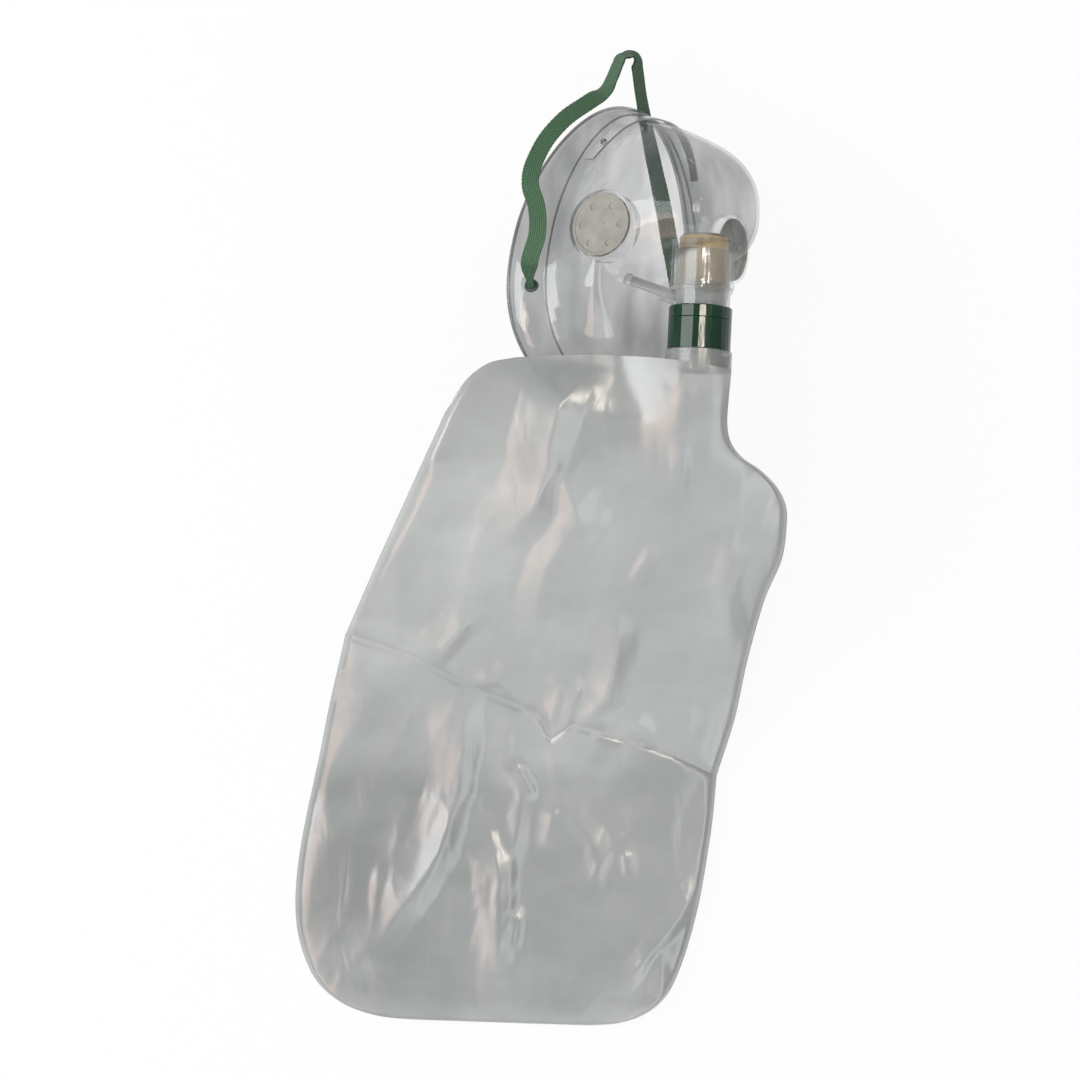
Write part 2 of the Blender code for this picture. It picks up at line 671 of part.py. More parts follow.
def build_collar(parts, neck, materials):
    """The green collar that holds the bag's neck on the adapter."""
    inner = ADAPTER_BODY_RADIUS + CLEARANCE
    outer = inner + COLLAR_WALL
    bottom = COLLAR_TOP - COLLAR_HEIGHT
    step = COLLAR_TOP - COLLAR_STEP_BELOW_TOP
    profile = [
        (outer - COLLAR_WALL / 2, COLLAR_TOP),
        (outer, COLLAR_TOP - COLLAR_WALL / 2),
        (outer, step + COLLAR_STEP),
        (outer - COLLAR_STEP, step),
        (outer, step - COLLAR_STEP),
        (outer, bottom),
        (inner, bottom),
        (inner, COLLAR_TOP),
    ]
    turned("bag_collar", profile, parts, materials["green"], neck)


def build_valve(parts, cutters, neck, materials, bore):
    """The inhalation valve: a cup with a slotted top and the flap that lies on it."""
    outer = bore - CLEARANCE
    inner = outer - SEAT_WALL
    top = ADAPTER_TOP + SEAT_TOP_ABOVE_ADAPTER
    bottom = top - SEAT_LENGTH
    stem_hole = FLAP_STUD_RADIUS + CLEARANCE
    profile = [
        (stem_hole, top),
        (outer, top),
        (outer, bottom),
        (inner, bottom),
        (inner, top - SEAT_FLOOR),
        (stem_hole, top - SEAT_FLOOR),
    ]
    seat = turned("inhalation_valve_seat", profile, parts, materials["cream"], neck)
    bm = bmesh.new()
    for index in range(SEAT_SLOTS):
        slot_cutter(bm, math.tau * index / SEAT_SLOTS, inner, top)
    slots = hide_cutter(make_object("slot_cuts", bm, cutters, None, neck))
    add_boolean(seat, slots, "DIFFERENCE", "slots")

    under = top + CLEARANCE
    barb = top - SEAT_FLOOR - CLEARANCE
    profile = [
        (0.0, under + FLAP_THICKNESS),
        (inner, under + FLAP_THICKNESS),
        (inner, under),
        (FLAP_STUD_RADIUS, under),
        (FLAP_STUD_RADIUS, barb),
        (FLAP_BARB_RADIUS, barb),
        (FLAP_STUD_RADIUS, barb - FLAP_BARB_HEIGHT),
        (0.0, barb - FLAP_BARB_HEIGHT),
    ]
    turned("inhalation_flap", profile, parts, materials["cream"], neck)


def slot_cutter(bm, middle, inner, top):
    """One sector-shaped slot through the top of the valve seat."""
    half = math.pi / SEAT_SLOTS - SEAT_SLOT_GAP / 2
    steps = 6
    reach = inner - SEAT_WALL
    turns = [middle + half * (2 * step / steps - 1) for step in range(steps + 1)]
    outline = [Vector((math.cos(turn), math.sin(turn), 0)) * reach for turn in turns]
    near = [Vector((math.cos(turn), math.sin(turn), 0)) * SEAT_HUB_RADIUS for turn in turns]
    outline += list(reversed(near))
    low = Vector((0, 0, top - SEAT_FLOOR - MM))
    face = bm.faces.new([bm.verts.new(point + low) for point in outline])
    raised = bmesh.ops.extrude_face_region(bm, geom=[face])
    rise = Vector((0, 0, SEAT_FLOOR + 2 * MM))
    moved = [item for item in raised["geom"] if isinstance(item, bmesh.types.BMVert)]
    bmesh.ops.translate(bm, verts=moved, vec=rise)
    bmesh.ops.recalc_face_normals(bm, faces=bm.faces)


def build_bag_flange(parts, neck, materials, foot_bottom):
    """The ring that closes the adapter's foot inside the neck of the bag."""
    top = foot_bottom - CLEARANCE
    bottom = top - FLANGE_THICKNESS
    edge = FLANGE_THICKNESS / 3
    profile = [
        (FLANGE_RADIUS, top),
        (FLANGE_RADIUS, bottom + edge),
        (FLANGE_RADIUS - edge, bottom),
        (FLANGE_BORE, bottom),
        (FLANGE_BORE, top),
    ]
    turned("bag_flange", profile, parts, materials["cream"], neck)
    return bottom


def smooth_step(value):
    """Zero to one with level ends."""
    value = min(1.0, max(0.0, value))
    return value * value * (3.0 - 2.0 * value)


def curve_points(points, count):
    """Evenly spaced points on a smooth curve through the given points."""
    fine = []
    ends = [2 * points[0] - points[1], *points, 2 * points[-1] - points[-2]]
    for before, start, end, after in zip(ends, ends[1:], ends[2:], ends[3:]):
        for step in range(12):
            t = step / 12
            fine.append(
                0.5
                * (
                    2 * start
                    + (end - before) * t
                    + (2 * before - 5 * start + 4 * end - after) * t**2
                    + (3 * start - before - 3 * end + after) * t**3
                )
            )
    fine.append(points[-1])
    lengths = [0.0]
    for start, end in zip(fine, fine[1:]):
        lengths.append(lengths[-1] + (end - start).length)
    even = []
    place = 0
    for step in range(count):
        target = lengths[-1] * step / (count - 1)
        while place < len(fine) - 2 and lengths[place + 1] < target:
            place += 1
        share = (target - lengths[place]) / (lengths[place + 1] - lengths[place])
        even.append(fine[place].lerp(fine[place + 1], share))
    return even


def bag_side(upper, lower):
    """One long side of the bag, with the crease at the same row on both sides."""
    crease_row = round(BAG_ROWS * CREASE_SHARE)
    top = curve_points([Vector(point) * MM for point in upper], crease_row + 1)
    rest = curve_points([Vector(point) * MM for point in lower], BAG_ROWS - crease_row + 1)
    return top + rest[1:], crease_row


def fold_height(point):
    """Height that the folds add to the upper film at a place on the bag."""
    total = 0.0
    for path, left, right, height in FOLDS:
        for first, second in zip(path, path[1:]):
            start, end = Vector(first) * MM, Vector(second) * MM
            span = end - start
            along = (point - start).dot(span) / span.length_squared
            away = point - (start + span * min(1.0, max(0.0, along)))
            turned_right = span.x * away.y - span.y * away.x > 0
            reach = (right if turned_right else left) * MM
            total = max(total, height * MM * smooth_step(1.0 - away.length / reach))
    return total


def build_bag(parts, cutters, root, neck, materials, flange_bottom):
    """The reservoir bag: two welded films with a little air, creased where it was folded."""
    neck_end = mask_matrix() @ neck_matrix() @ Vector((0, 0, flange_bottom - CLEARANCE))
    left, crease_row = bag_side(BAG_LEFT_UPPER, BAG_LEFT_LOWER)
    right, _ = bag_side(BAG_RIGHT_UPPER, BAG_RIGHT_LOWER)
    bm = bmesh.new()
    upper, lower = [], []
    for row, (start, end) in enumerate(zip(left, right)):
        over, under = [], []
        for column in range(BAG_COLUMNS + 1):
            share = column / BAG_COLUMNS
            point = start.lerp(end, share)
            bow = math.sin(math.pi * share) * max(0.0, 1.0 - row * BAG_BOW_FADE)
            point.y += BAG_TOP_BOW * bow
            low, high = bag_heights(point, row, share, crease_row, neck_end)
            under.append(bm.verts.new((point.x, point.y, low)))
            over.append(bm.verts.new((point.x, point.y, high)))
        upper.append(over)
        lower.append(under)
    bottom = []
    for row in range(BAG_ROWS):
        for column in range(BAG_COLUMNS):
            corners = ((row, column), (row + 1, column), (row + 1, column + 1), (row, column + 1))
            bm.faces.new([upper[r][c] for r, c in corners])
            bottom.append(bm.faces.new([lower[r][c] for r, c in reversed(corners)]))
    for edge in bag_rim():
        (r0, c0), (r1, c1) = edge
        bm.faces.new((upper[r0][c0], upper[r1][c1], lower[r1][c1], lower[r0][c0]))
    bmesh.ops.recalc_face_normals(bm, faces=bm.faces)
    flat = [face for face in bottom if all(vert.co.z < MM / 100 for vert in face.verts)]
    edges = {edge for face in flat for edge in face.edges if all(f in flat for f in edge.link_faces)}
    verts = {vert for edge in edges for vert in edge.verts}
    bmesh.ops.dissolve_limit(bm, angle_limit=0.001, verts=list(verts), edges=list(edges))
    bag = make_object("reservoir_bag", bm, parts, materials["film"], root, 60.0)
    pocket = FLANGE_RADIUS + CLEARANCE
    outer = pocket + BAG_NECK_WALL
    top = COLLAR_TOP - COLLAR_HEIGHT - 2 * CLEARANCE
    bottom = flange_bottom - CLEARANCE
    profile = [(0.0, top), (outer, top), (outer, bottom - BAG_NECK_WALL)]
    narrow = outer * BAG_NECK_NARROW
    profile += [(narrow, bottom - BAG_NECK_TAPER), (0.0, bottom - BAG_NECK_TAPER)]
    sleeve = hide_cutter(turned("bag_neck_form", profile, cutters, None, neck))
    add_boolean(bag, sleeve, "UNION", "neck")
    bm = bmesh.new()
    rod(bm, Vector((0, 0, bottom)), Vector((0, 0, top + THROUGH)), pocket, pocket, TURN_STEPS)
    hollow = hide_cutter(make_object("bag_pocket", bm, cutters, None, neck))
    add_boolean(bag, hollow, "DIFFERENCE", "pocket")


def bag_rim():
    """Pairs of neighbouring grid places round the edge of the bag."""
    rows, columns = BAG_ROWS, BAG_COLUMNS
    ring = [(0, column) for column in range(columns)]
    ring += [(row, columns) for row in range(rows)]
    ring += [(rows, columns - column) for column in range(columns)]
    ring += [(rows - row, 0) for row in range(rows)]
    return list(zip(ring, ring[1:] + ring[:1]))


def bag_heights(point, row, share, crease_row, neck_end):
    """Heights of the lower and the upper film at one place."""
    low = BAG_SHELF * (1.0 - smooth_step((BAG_SHELF_END - point.y) / BAG_SLOPE_LENGTH))
    along = row / BAG_ROWS
    inside = (4 * share * (1 - share)) ** 0.5
    ends = (1 - along**BAG_BOTTOM_FILL) * smooth_step(along / BAG_TOP_FILL)
    fullness = inside * max(0.0, ends) ** 0.5
    high = low + BAG_SEAM + BAG_PUFF * fullness
    soft = min(1.0, fullness * 2.0)
    high += fold_height(point) * soft
    away = abs(row - crease_row) * BAG_ROW_PITCH / CREASE_WIDTH
    high -= CREASE_DEPTH * math.exp(-(away**2)) * soft
    across = abs(point.x - neck_end.x) / FLANGE_RADIUS
    near = 1.0 - smooth_step((neck_end.y - point.y) / BAG_NECK_BLEND)
    tent = 1.0 - smooth_step((across - BAG_TENT_FLAT) / BAG_TENT_REACH)
    high += max(0.0, neck_end.z + FLANGE_RADIUS * tent - high) * near
    round_off = max(0.0, 1.0 - across**2) ** 0.5
    share = BAG_SEAM_LIFT * (1.0 - smooth_step((across - 1.0) / BAG_TENT_REACH))
    share = round_off + (1.0 - round_off) * share
    low += (neck_end.z - FLANGE_RADIUS * round_off - low) * near * share
    return low, high


def strap_point(spline, index, place, radius, turn):
    """Sets one control point of the strap's curve."""
    point = spline.bezier_points[index]
    point.co = place
    point.handle_left_type = "AUTO"
    point.handle_right_type = "AUTO"
    point.radius = radius
    point.tilt = math.radians(90.0 - turn)


def build_strap(parts, cutters, root, materials):
    """The flat elastic strap, narrowed and knotted at both eyelets."""
    mask = mask_matrix()
    near = mask @ wall_frame(EYELET_SECTION, EYELET_TURN)
    far = mask @ wall_frame(EYELET_SECTION, math.pi - EYELET_TURN)
    knot_under = -WALL - EYELET_STAND / 2 - CLEARANCE - KNOT_RADIUS * KNOT_SEAT
    knot_over = EYELET_STAND + CLEARANCE + KNOT_RADIUS * KNOT_SEAT
    near_knot = near @ Vector((0, 0, knot_under))
    far_knot = far @ Vector((0, 0, knot_over))
    narrow = STRAP_END_SHARE
    route = [(near_knot, narrow, 0.0), (near @ Vector((0, 0, STRAP_LEAD)), narrow, 0.0)]
    route += [(Vector((x, y, z)) * MM, 1.0, turn) for x, y, z, turn in STRAP_ROUTE]
    route += [(far @ Vector((0, 0, -STRAP_LEAD)), narrow, 0.0), (far_knot, narrow, 0.0)]
    data = bpy.data.curves.new("strap_path", "CURVE")
    data.dimensions = "3D"
    data.twist_mode = "Z_UP"
    data.resolution_u = 4
    data.extrude = (STRAP_WIDTH - STRAP_THICKNESS) / 2
    data.bevel_depth = STRAP_THICKNESS / 2
    data.bevel_resolution = 0
    data.use_fill_caps = True
    spline = data.splines.new("BEZIER")
    spline.bezier_points.add(len(route) - 1)
    for index, (place, radius, turn) in enumerate(route):
        strap_point(spline, index, place, radius, turn)
    guide = bpy.data.objects.new("strap_path", data)
    cutters.objects.link(guide)
    bpy.context.view_layer.update()
    graph = bpy.context.evaluated_depsgraph_get()
    mesh = bpy.data.meshes.new_from_object(guide.evaluated_get(graph))
    bm = bmesh.new()
    bm.from_mesh(mesh)
    bmesh.ops.remove_doubles(bm, verts=bm.verts, dist=0.00001)
    bpy.data.objects.remove(guide, do_unlink=True)
    strap = make_object("head_strap", bm, parts, materials["strap"], root)
    for name, place in (("near", near_knot), ("far", far_knot)):
        bm = bmesh.new()
        matrix = Matrix.Translation(place)
        bmesh.ops.create_icosphere(bm, subdivisions=2, radius=KNOT_RADIUS, matrix=matrix)
        knot = hide_cutter(make_object(f"knot_form_{name}", bm, cutters, None, root))
        add_boolean(strap, knot, "UNION", f"knot_{name}")
    return strap


def centre_on_origin(parts, root):
    """Moves the whole part so that its footprint is centred on the origin, on the table."""
    bpy.context.view_layer.update()
    graph = bpy.context.evaluated_depsgraph_get()
    places = []
    for obj in parts.objects:
        if obj.type == "MESH":
            evaluated = obj.evaluated_get(graph)
            places += [evaluated.matrix_world @ vert.co for vert in evaluated.data.vertices]
    low = Vector([min(place[axis] for place in places) for axis in range(3)])
    high = Vector([max(place[axis] for place in places) for axis in range(3)])
    middle = (low + high) / 2
    root.location = (-middle.x, -middle.y, -low.z)


def main():
    """Builds every piece where it lies."""
    clear_scene()
    parts = make_collection(COLLECTION)
    cutters = make_collection("cutters")
    materials = {name: make_material(name, *values) for name, values in COLOURS.items()}
    root = make_empty("table_frame", Matrix.Identity(4), parts)
    frame = make_empty("mask_frame", mask_matrix(), parts, root)
    neck = make_empty("neck_frame", neck_matrix(), parts, frame)
    build_mask_shell(parts, cutters, frame, neck, materials)
    build_vent_flaps(parts, cutters, frame, materials)
    build_nose_clip(parts, cutters, frame, materials)
    bore, foot_bottom = build_adapter(parts, cutters, neck, materials)
    build_collar(parts, neck, materials)
    build_valve(parts, cutters, neck, materials, bore)
    flange_bottom = build_bag_flange(parts, neck, materials, foot_bottom)
    build_bag(parts, cutters, root, neck, materials, flange_bottom)
    build_strap(parts, cutters, root, materials)
    centre_on_origin(parts, root)


main()
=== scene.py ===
"""Looks of a clear oxygen face mask with its reservoir bag, lying on a pale table.

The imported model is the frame. Every piece stands where its solid stands, in metres, +Z up.
"""

import logging
import math
from dataclasses import dataclass
from enum import Enum

import bmesh
import bpy
from mathutils import Matrix, Vector, noise


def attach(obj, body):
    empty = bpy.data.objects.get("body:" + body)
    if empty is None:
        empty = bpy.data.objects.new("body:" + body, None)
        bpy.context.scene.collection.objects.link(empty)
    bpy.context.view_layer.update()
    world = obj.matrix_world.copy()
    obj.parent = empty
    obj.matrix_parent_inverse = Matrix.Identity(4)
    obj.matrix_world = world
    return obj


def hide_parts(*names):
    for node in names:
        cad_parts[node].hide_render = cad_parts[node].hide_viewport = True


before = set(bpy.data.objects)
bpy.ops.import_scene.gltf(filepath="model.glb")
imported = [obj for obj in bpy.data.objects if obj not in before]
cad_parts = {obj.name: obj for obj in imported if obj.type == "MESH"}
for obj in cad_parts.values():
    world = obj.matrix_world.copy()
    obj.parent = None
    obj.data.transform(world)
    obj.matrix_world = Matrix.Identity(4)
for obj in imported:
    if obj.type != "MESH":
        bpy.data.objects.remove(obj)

MM = 0.001
LOG = logging.getLogger("oxygen_mask")
# The part's footprint is centred on the origin; its maker's drawing was off by this much
DRAWING_SHIFT = Vector((1.6208, 1.6435, 0.0)) * MM
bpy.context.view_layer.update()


class Tint(Enum):
    """Colours of the real materials and of the lamps, as sRGB hex values; a few are lighter and
    darker copies used as painted light and painted shade.
    """

    CLEAR_VINYL = "747877"
    CLEAR_VINYL_THICK = "565c5a"
    CLEAR_NECK = "cfd0cb"
    CLEAR_NECK_THICK = "aeb1ad"
    # The film's haze tones; the lightest is painted light on the bag's upper half and the darkest
    # is painted shade on its lower left
    BAG_FILM = "b1b2b0"
    BAG_FILM_SHADE = "a5a7a6"
    BAG_FILM_LIT = "bebfbd"
    BAG_FILM_PAINTED_SHADE = "959796"
    SILICONE = "9c9891"
    SILICONE_WARM = "aba69c"
    # A lighter silicone tone, painted light on the far flap
    SILICONE_LIT = "dcd8ce"
    VALVE_TAN = "e8bd7c"
    VALVE_TAN_LIGHT = "f5d8a0"
    COLLAR_GREEN = "173f2b"
    COLLAR_GREEN_DARK = "123323"
    ELASTIC_GREEN = "49764f"
    ELASTIC_GREEN_DARK = "2e5637"
    ALUMINIUM = "c9cac8"
    TABLE = "f4f4f2"
    DAYLIGHT = "f3f5f6"
    WARM_WINDOW = "fff1e2"
    PINK_WALL = "ffd9c6"


def linear(tint: Tint) -> tuple[float, float, float, float]:
    """Turns an sRGB hex value into a linear colour.

    Args:
        tint: The named colour.

    Returns:
        Red, green, blue and an alpha of one.
    """
    parts = [int(tint.value[at : at + 2], 16) / 255 for at in (0, 2, 4)]
    flat = [c / 12.92 if c <= 0.04045 else ((c + 0.055) / 1.055) ** 2.4 for c in parts]
    return (flat[0], flat[1], flat[2], 1.0)


def add_node(
    tree: bpy.types.NodeTree, kind: str, settings: dict | None = None, links: dict | None = None
) -> bpy.types.Node:
    """Adds a node with its settings and its incoming links.

    Args:
        tree: The material's node tree.
        kind: Node type name.
        settings: Property or socket values by name or number.
        links: Source sockets by the name or number of the socket they feed.

    Returns:
        The new node.
    """
    node = tree.nodes.new(kind)
    for name, value in (settings or {}).items():
        if isinstance(name, str) and hasattr(node, name):
            setattr(node, name, value)
        else:
            node.inputs[name].default_value = value
    for name, source in (links or {}).items():
        tree.links.new(source, node.inputs[name])
    return node


def colour_ramp(
    tree: bpy.types.NodeTree, source: bpy.types.NodeSocket, stops: list[tuple[float, tuple]]
) -> bpy.types.NodeSocket:
    """Turns a value into a colour by a ramp.

    Args:
        tree: The material's node tree.
        source: The value.
        stops: Place and linear colour of each stop, from low to high.

    Returns:
        The ramp's colour socket.
    """
    ramp = add_node(tree, "ShaderNodeValToRGB", links={"Fac": source}).color_ramp
    while len(ramp.elements) < len(stops):
        ramp.elements.new(0.5)
    for element, (place, colour) in zip(ramp.elements, stops):
        element.position = place
        element.color = colour
    return tree.nodes[-1].outputs["Color"]


@dataclass(frozen=True)
class Finish:
    """A surface finish; each kind adds its own pattern."""

    name: str

    def start(self, **sockets: object) -> tuple[bpy.types.Material, bpy.types.Node]:
        """Makes the material and its shader.

        Args:
            sockets: Values set on the shader's own sockets, with underscores for spaces.

        Returns:
            The material and its shader node.
        """
        material = bpy.data.materials.new(self.name)
        material.use_nodes = True
        shader = material.node_tree.nodes["Principled BSDF"]
        for name, value in sockets.items():
            shader.inputs[name.replace("_", " ")].default_value = value
        return material, shader

    def place(
        self, tree: bpy.types.NodeTree, scale: tuple, turn: tuple = (0, 0, 0)
    ) -> bpy.types.NodeSocket:
        """Gives object coordinates, scaled and turned.

        Args:
            tree: The material's node tree.
            scale: Repeats per metre along each axis.
            turn: Angles about each axis, in radians.

        Returns:
            The mapped coordinates' socket.
        """
        where = add_node(tree, "ShaderNodeTexCoord").outputs["Object"]
        settings = {"Scale": scale, "Rotation": turn}
        return add_node(tree, "ShaderNodeMapping", settings, {"Vector": where}).outputs["Vector"]

    def bump(
        self, tree: bpy.types.NodeTree, shader: bpy.types.Node, height: bpy.types.NodeSocket,
        depth: float,
    ) -> None:
        """Feeds a height to the shader's normal.

        Args:
            tree: The material's node tree.
            shader: The shader.
            height: The height's socket, from zero to one.
            depth: How deep the pattern is, in metres.
        """
        node = add_node(tree, "ShaderNodeBump", {"Distance": depth}, {"Height": height})
        tree.links.new(node.outputs["Normal"], shader.inputs["Normal"])

    def thin_out_and_paint_light(
        self, tree: bpy.types.NodeTree, value: bpy.types.NodeSocket, centre: Vector, reach: float,
        amount: float,
    ) -> bpy.types.NodeSocket:
        """Lowers a value round a place, as where a wall is stretched thin; on the bag film it also
        shifts the tone for painted shade and painted light.

        Args:
            tree: The material's node tree.
            value: The value's socket.
            centre: The place, in the object's own coordinates.
            reach: How far from it the change ends, in metres.
            amount: How much the value drops at the place; it rises where this is below zero.

        Returns:
            The changed value's socket.
        """
        scale = 1 / reach
        where = add_node(tree, "ShaderNodeTexCoord").outputs["Object"]
        settings = {"Scale": (scale, scale, scale), "Location": -centre * scale}
        there = add_node(tree, "ShaderNodeMapping", settings, {"Vector": where})
        settings = {"gradient_type": "SPHERICAL"}
        near = add_node(tree, "ShaderNodeTexGradient", settings, {"Vector": there.outputs[0]})
        settings = {"operation": "MULTIPLY_ADD", 1: -amount}
        return add_node(
            tree, "ShaderNodeMath", settings, {0: near.outputs["Fac"], 2: value}
        ).outputs[0]

    def make(self) -> bpy.types.Material:
        """Makes the material; each kind of finish has its own."""
        raise NotImplementedError


@dataclass(frozen=True)
class ClearVinyl(Finish):
    """Soft clear PVC, dip-smooth from its mould: thin in the face, dense where seen on edge."""

    face: float = 0.45
    edge: float = 0.68
    roughness: float = 0.06
    thin: Tint = Tint.CLEAR_VINYL
    thick: Tint = Tint.CLEAR_VINYL_THICK
    # Round one spot the wall is clearer by so much, or milkier where that is below zero
    spot: Vector = Vector((0.0, 0.0, 0.0))
    spot_reach: float = 64.0 * MM
    spot_clear: float = 0.0
    ior: float = 1.53
    specular: float = 0.9
    edge_blend: float = 0.38
    edge_span: tuple = (0.55, 0.98)
    # Slow waves about 18 mm long, which break the highlights as soft vinyl does
    wave_scale: tuple = (55, 55, 55)
    wave_depth: float = 1.3 * MM
    # Smoky streaks 9 mm wide run down the cheeks
    streak_scale: tuple = (110, 22, 60)
    streak_turn: float = math.radians(6)
    streak_strength: float = 0.07

    def make(self) -> bpy.types.Material:
        """Makes the material: smoky where thick, with the slow waves of a soft moulding.

        Returns:
            The material.
        """
        material, shader = self.start(
            Roughness=self.roughness, IOR=self.ior, Specular_IOR_Level=self.specular
        )
        tree = material.node_tree
        waves = add_node(
            tree, "ShaderNodeTexNoise", {"Detail": 2.0, "Scale": 1.0},
            {"Vector": self.place(tree, self.wave_scale)},
        ).outputs["Fac"]
        stops = [(0.35, linear(self.thick)), (0.65, linear(self.thin))]
        tree.links.new(colour_ramp(tree, waves, stops), shader.inputs["Base Color"])
        self.bump(tree, shader, waves, self.wave_depth)
        weight = add_node(tree, "ShaderNodeLayerWeight", {"Blend": self.edge_blend})
        low, high = self.edge_span
        settings = {"From Min": low, "From Max": high, "To Min": self.face, "To Max": self.edge}
        opacity = add_node(
            tree, "ShaderNodeMapRange", settings, {"Value": weight.outputs["Facing"]}
        )
        streaks = self.place(tree, self.streak_scale, (0, 0, self.streak_turn))
        smoke = add_node(
            tree, "ShaderNodeTexNoise", {"Detail": 1.5, "Scale": 1.0}, {"Vector": streaks}
        )
        settings = {
            "From Min": 0.3, "From Max": 0.7,
            "To Min": -self.streak_strength, "To Max": self.streak_strength,
        }
        uneven = add_node(tree, "ShaderNodeMapRange", settings, {"Value": smoke.outputs["Fac"]})
        wall = add_node(
            tree, "ShaderNodeMath", {"operation": "ADD"},
            {0: opacity.outputs["Result"], 1: uneven.outputs["Result"]},
        )
        left = self.thin_out_and_paint_light(tree, wall.outputs[0], self.spot, self.spot_reach, self.spot_clear)
        tree.links.new(left, shader.inputs["Alpha"])
        return material


@dataclass(frozen=True)
class BagFilm(Finish):
    """Thin blown vinyl film, milky and crumpled from its pack."""

    roughness: float = 0.24
    opacity: float = 0.82
    edge_opacity: float = 0.94
    ior: float = 1.53
    specular: float = 0.8
    edge_blend: float = 0.3
    edge_full: float = 0.9
    # The film is stretched thin over the adapter's foot, and the flange shows through it
    neck: Vector = Vector((0.07, 0.07, 0.08))
    neck_reach: float = 26.0 * MM
    neck_clear: float = 0.8
    # Painted light and shade: the upper half, which hangs clear of the table, is painted lighter,
    # and the lower left is painted darker
    low: Vector = Vector((-0.1, -0.15, 0.01))
    low_reach: float = 120.0 * MM
    low_painted_shade: float = 0.4
    high: Vector = Vector((-0.045, 0.02, 0.07))
    high_reach: float = 110.0 * MM
    high_painted_light: float = 0.26
    # Haze in cells about 30 mm across
    haze_scale: tuple = (22, 34, 30)
    # Crumples 14 mm wide and 40 mm long, along the bag
    crumple_scale: tuple = (70, 25, 40)
    crumple_turn: float = math.radians(-17)
    crumple_depth: float = 0.5 * MM

    def make(self) -> bpy.types.Material:
        """Makes the material: hazy film with soft crumples along the bag, painted lighter on its
        upper half and darker on its lower left.

        Returns:
            The material.
        """
        material, shader = self.start(
            Roughness=self.roughness, IOR=self.ior, Specular_IOR_Level=self.specular
        )
        tree = material.node_tree
        haze = add_node(
            tree, "ShaderNodeTexNoise", {"Detail": 3.0, "Scale": 1.0},
            {"Vector": self.place(tree, self.haze_scale)},
        )
        # Painted shade darkens the tone on the lower left, and painted light lifts it on the upper
        # half
        tone = self.thin_out_and_paint_light(tree, haze.outputs["Fac"], self.low, self.low_reach, self.low_painted_shade)
        tone = self.thin_out_and_paint_light(tree, tone, self.high, self.high_reach, -self.high_painted_light)
        stops = [
            (0.08, linear(Tint.BAG_FILM_PAINTED_SHADE)), (0.35, linear(Tint.BAG_FILM_SHADE)),
            (0.62, linear(Tint.BAG_FILM)), (0.85, linear(Tint.BAG_FILM_LIT)),
        ]
        tree.links.new(colour_ramp(tree, tone, stops), shader.inputs["Base Color"])
        crumple = add_node(
            tree, "ShaderNodeTexNoise", {"Detail": 2.5, "Scale": 1.0, "Distortion": 0.8},
            {"Vector": self.place(tree, self.crumple_scale, (0, 0, self.crumple_turn))},
        )
        self.bump(tree, shader, crumple.outputs["Fac"], self.crumple_depth)
        weight = add_node(tree, "ShaderNodeLayerWeight", {"Blend": self.edge_blend})
        settings = {
            "From Max": self.edge_full, "To Min": self.opacity, "To Max": self.edge_opacity
        }
        opacity = add_node(
            tree, "ShaderNodeMapRange", settings, {"Value": weight.outputs["Facing"]}
        )
        left = self.thin_out_and_paint_light(
            tree, opacity.outputs["Result"], self.neck, self.neck_reach, self.neck_clear
        )
        tree.links.new(left, shader.inputs["Alpha"])
        return material


@dataclass(frozen=True)
class MouldedSilicone(Finish):
    """Silicone rubber, satin from the mould, with a dusty bloom."""

    dark: Tint = Tint.SILICONE
    light: Tint = Tint.SILICONE_WARM
    roughness: float = 0.55
    ior: float = 1.43
    specular: float = 0.3
    glow_through: float = 0.1
    glow_reach: tuple = (2.0 * MM, 1.5 * MM, 1.0 * MM)
    # Mottle about 6 mm across, and grain of 0.5 mm
    mottle_scale: tuple = (170, 170, 170)
    grain_scale: tuple = (2000, 2000, 2000)
    grain_depth: float = 0.05 * MM

    def make(self) -> bpy.types.Material:
        """Makes the material: a soft mottle and a fine grained skin.

        Returns:
            The material.
        """
        material, shader = self.start(
            Roughness=self.roughness, IOR=self.ior, Specular_IOR_Level=self.specular,
            Subsurface_Weight=self.glow_through, Subsurface_Radius=self.glow_reach,
        )
        tree = material.node_tree
        mottle = add_node(
            tree, "ShaderNodeTexNoise", {"Detail": 3.0, "Scale": 1.0},
            {"Vector": self.place(tree, self.mottle_scale)},
        ).outputs["Fac"]
        stops = [(0.35, linear(self.dark)), (0.7, linear(self.light))]
        tree.links.new(colour_ramp(tree, mottle, stops), shader.inputs["Base Color"])
        grain = add_node(
            tree, "ShaderNodeTexNoise", {"Detail": 1.0, "Scale": 1.0},
            {"Vector": self.place(tree, self.grain_scale)},
        )
        self.bump(tree, shader, grain.outputs["Fac"], self.grain_depth)
        return material


@dataclass(frozen=True)
class DyedPolypropylene(Finish):
    """Dark green polypropylene, polished by its mould."""

    roughness: float = 0.15
    ior: float = 1.49
    specular: float = 0.4
    # Flow marks 3 mm apart across the ring
    flow_scale: tuple = (330, 60, 330)
    flow_depth: float = 0.08 * MM

    def make(self) -> bpy.types.Material:
        """Makes the material: flow marks along the ring and a clean gloss.

        Returns:
            The material.
        """
        material, shader = self.start(
            Roughness=self.roughness, IOR=self.ior, Specular_IOR_Level=self.specular
        )
        tree = material.node_tree
        marks = add_node(
            tree, "ShaderNodeTexNoise", {"Detail": 2.0, "Scale": 1.0},
            {"Vector": self.place(tree, self.flow_scale)},
        ).outputs["Fac"]
        stops = [(0.3, linear(Tint.COLLAR_GREEN_DARK)), (0.7, linear(Tint.COLLAR_GREEN))]
        tree.links.new(colour_ramp(tree, marks, stops), shader.inputs["Base Color"])
        self.bump(tree, shader, marks, self.flow_depth)
        return material


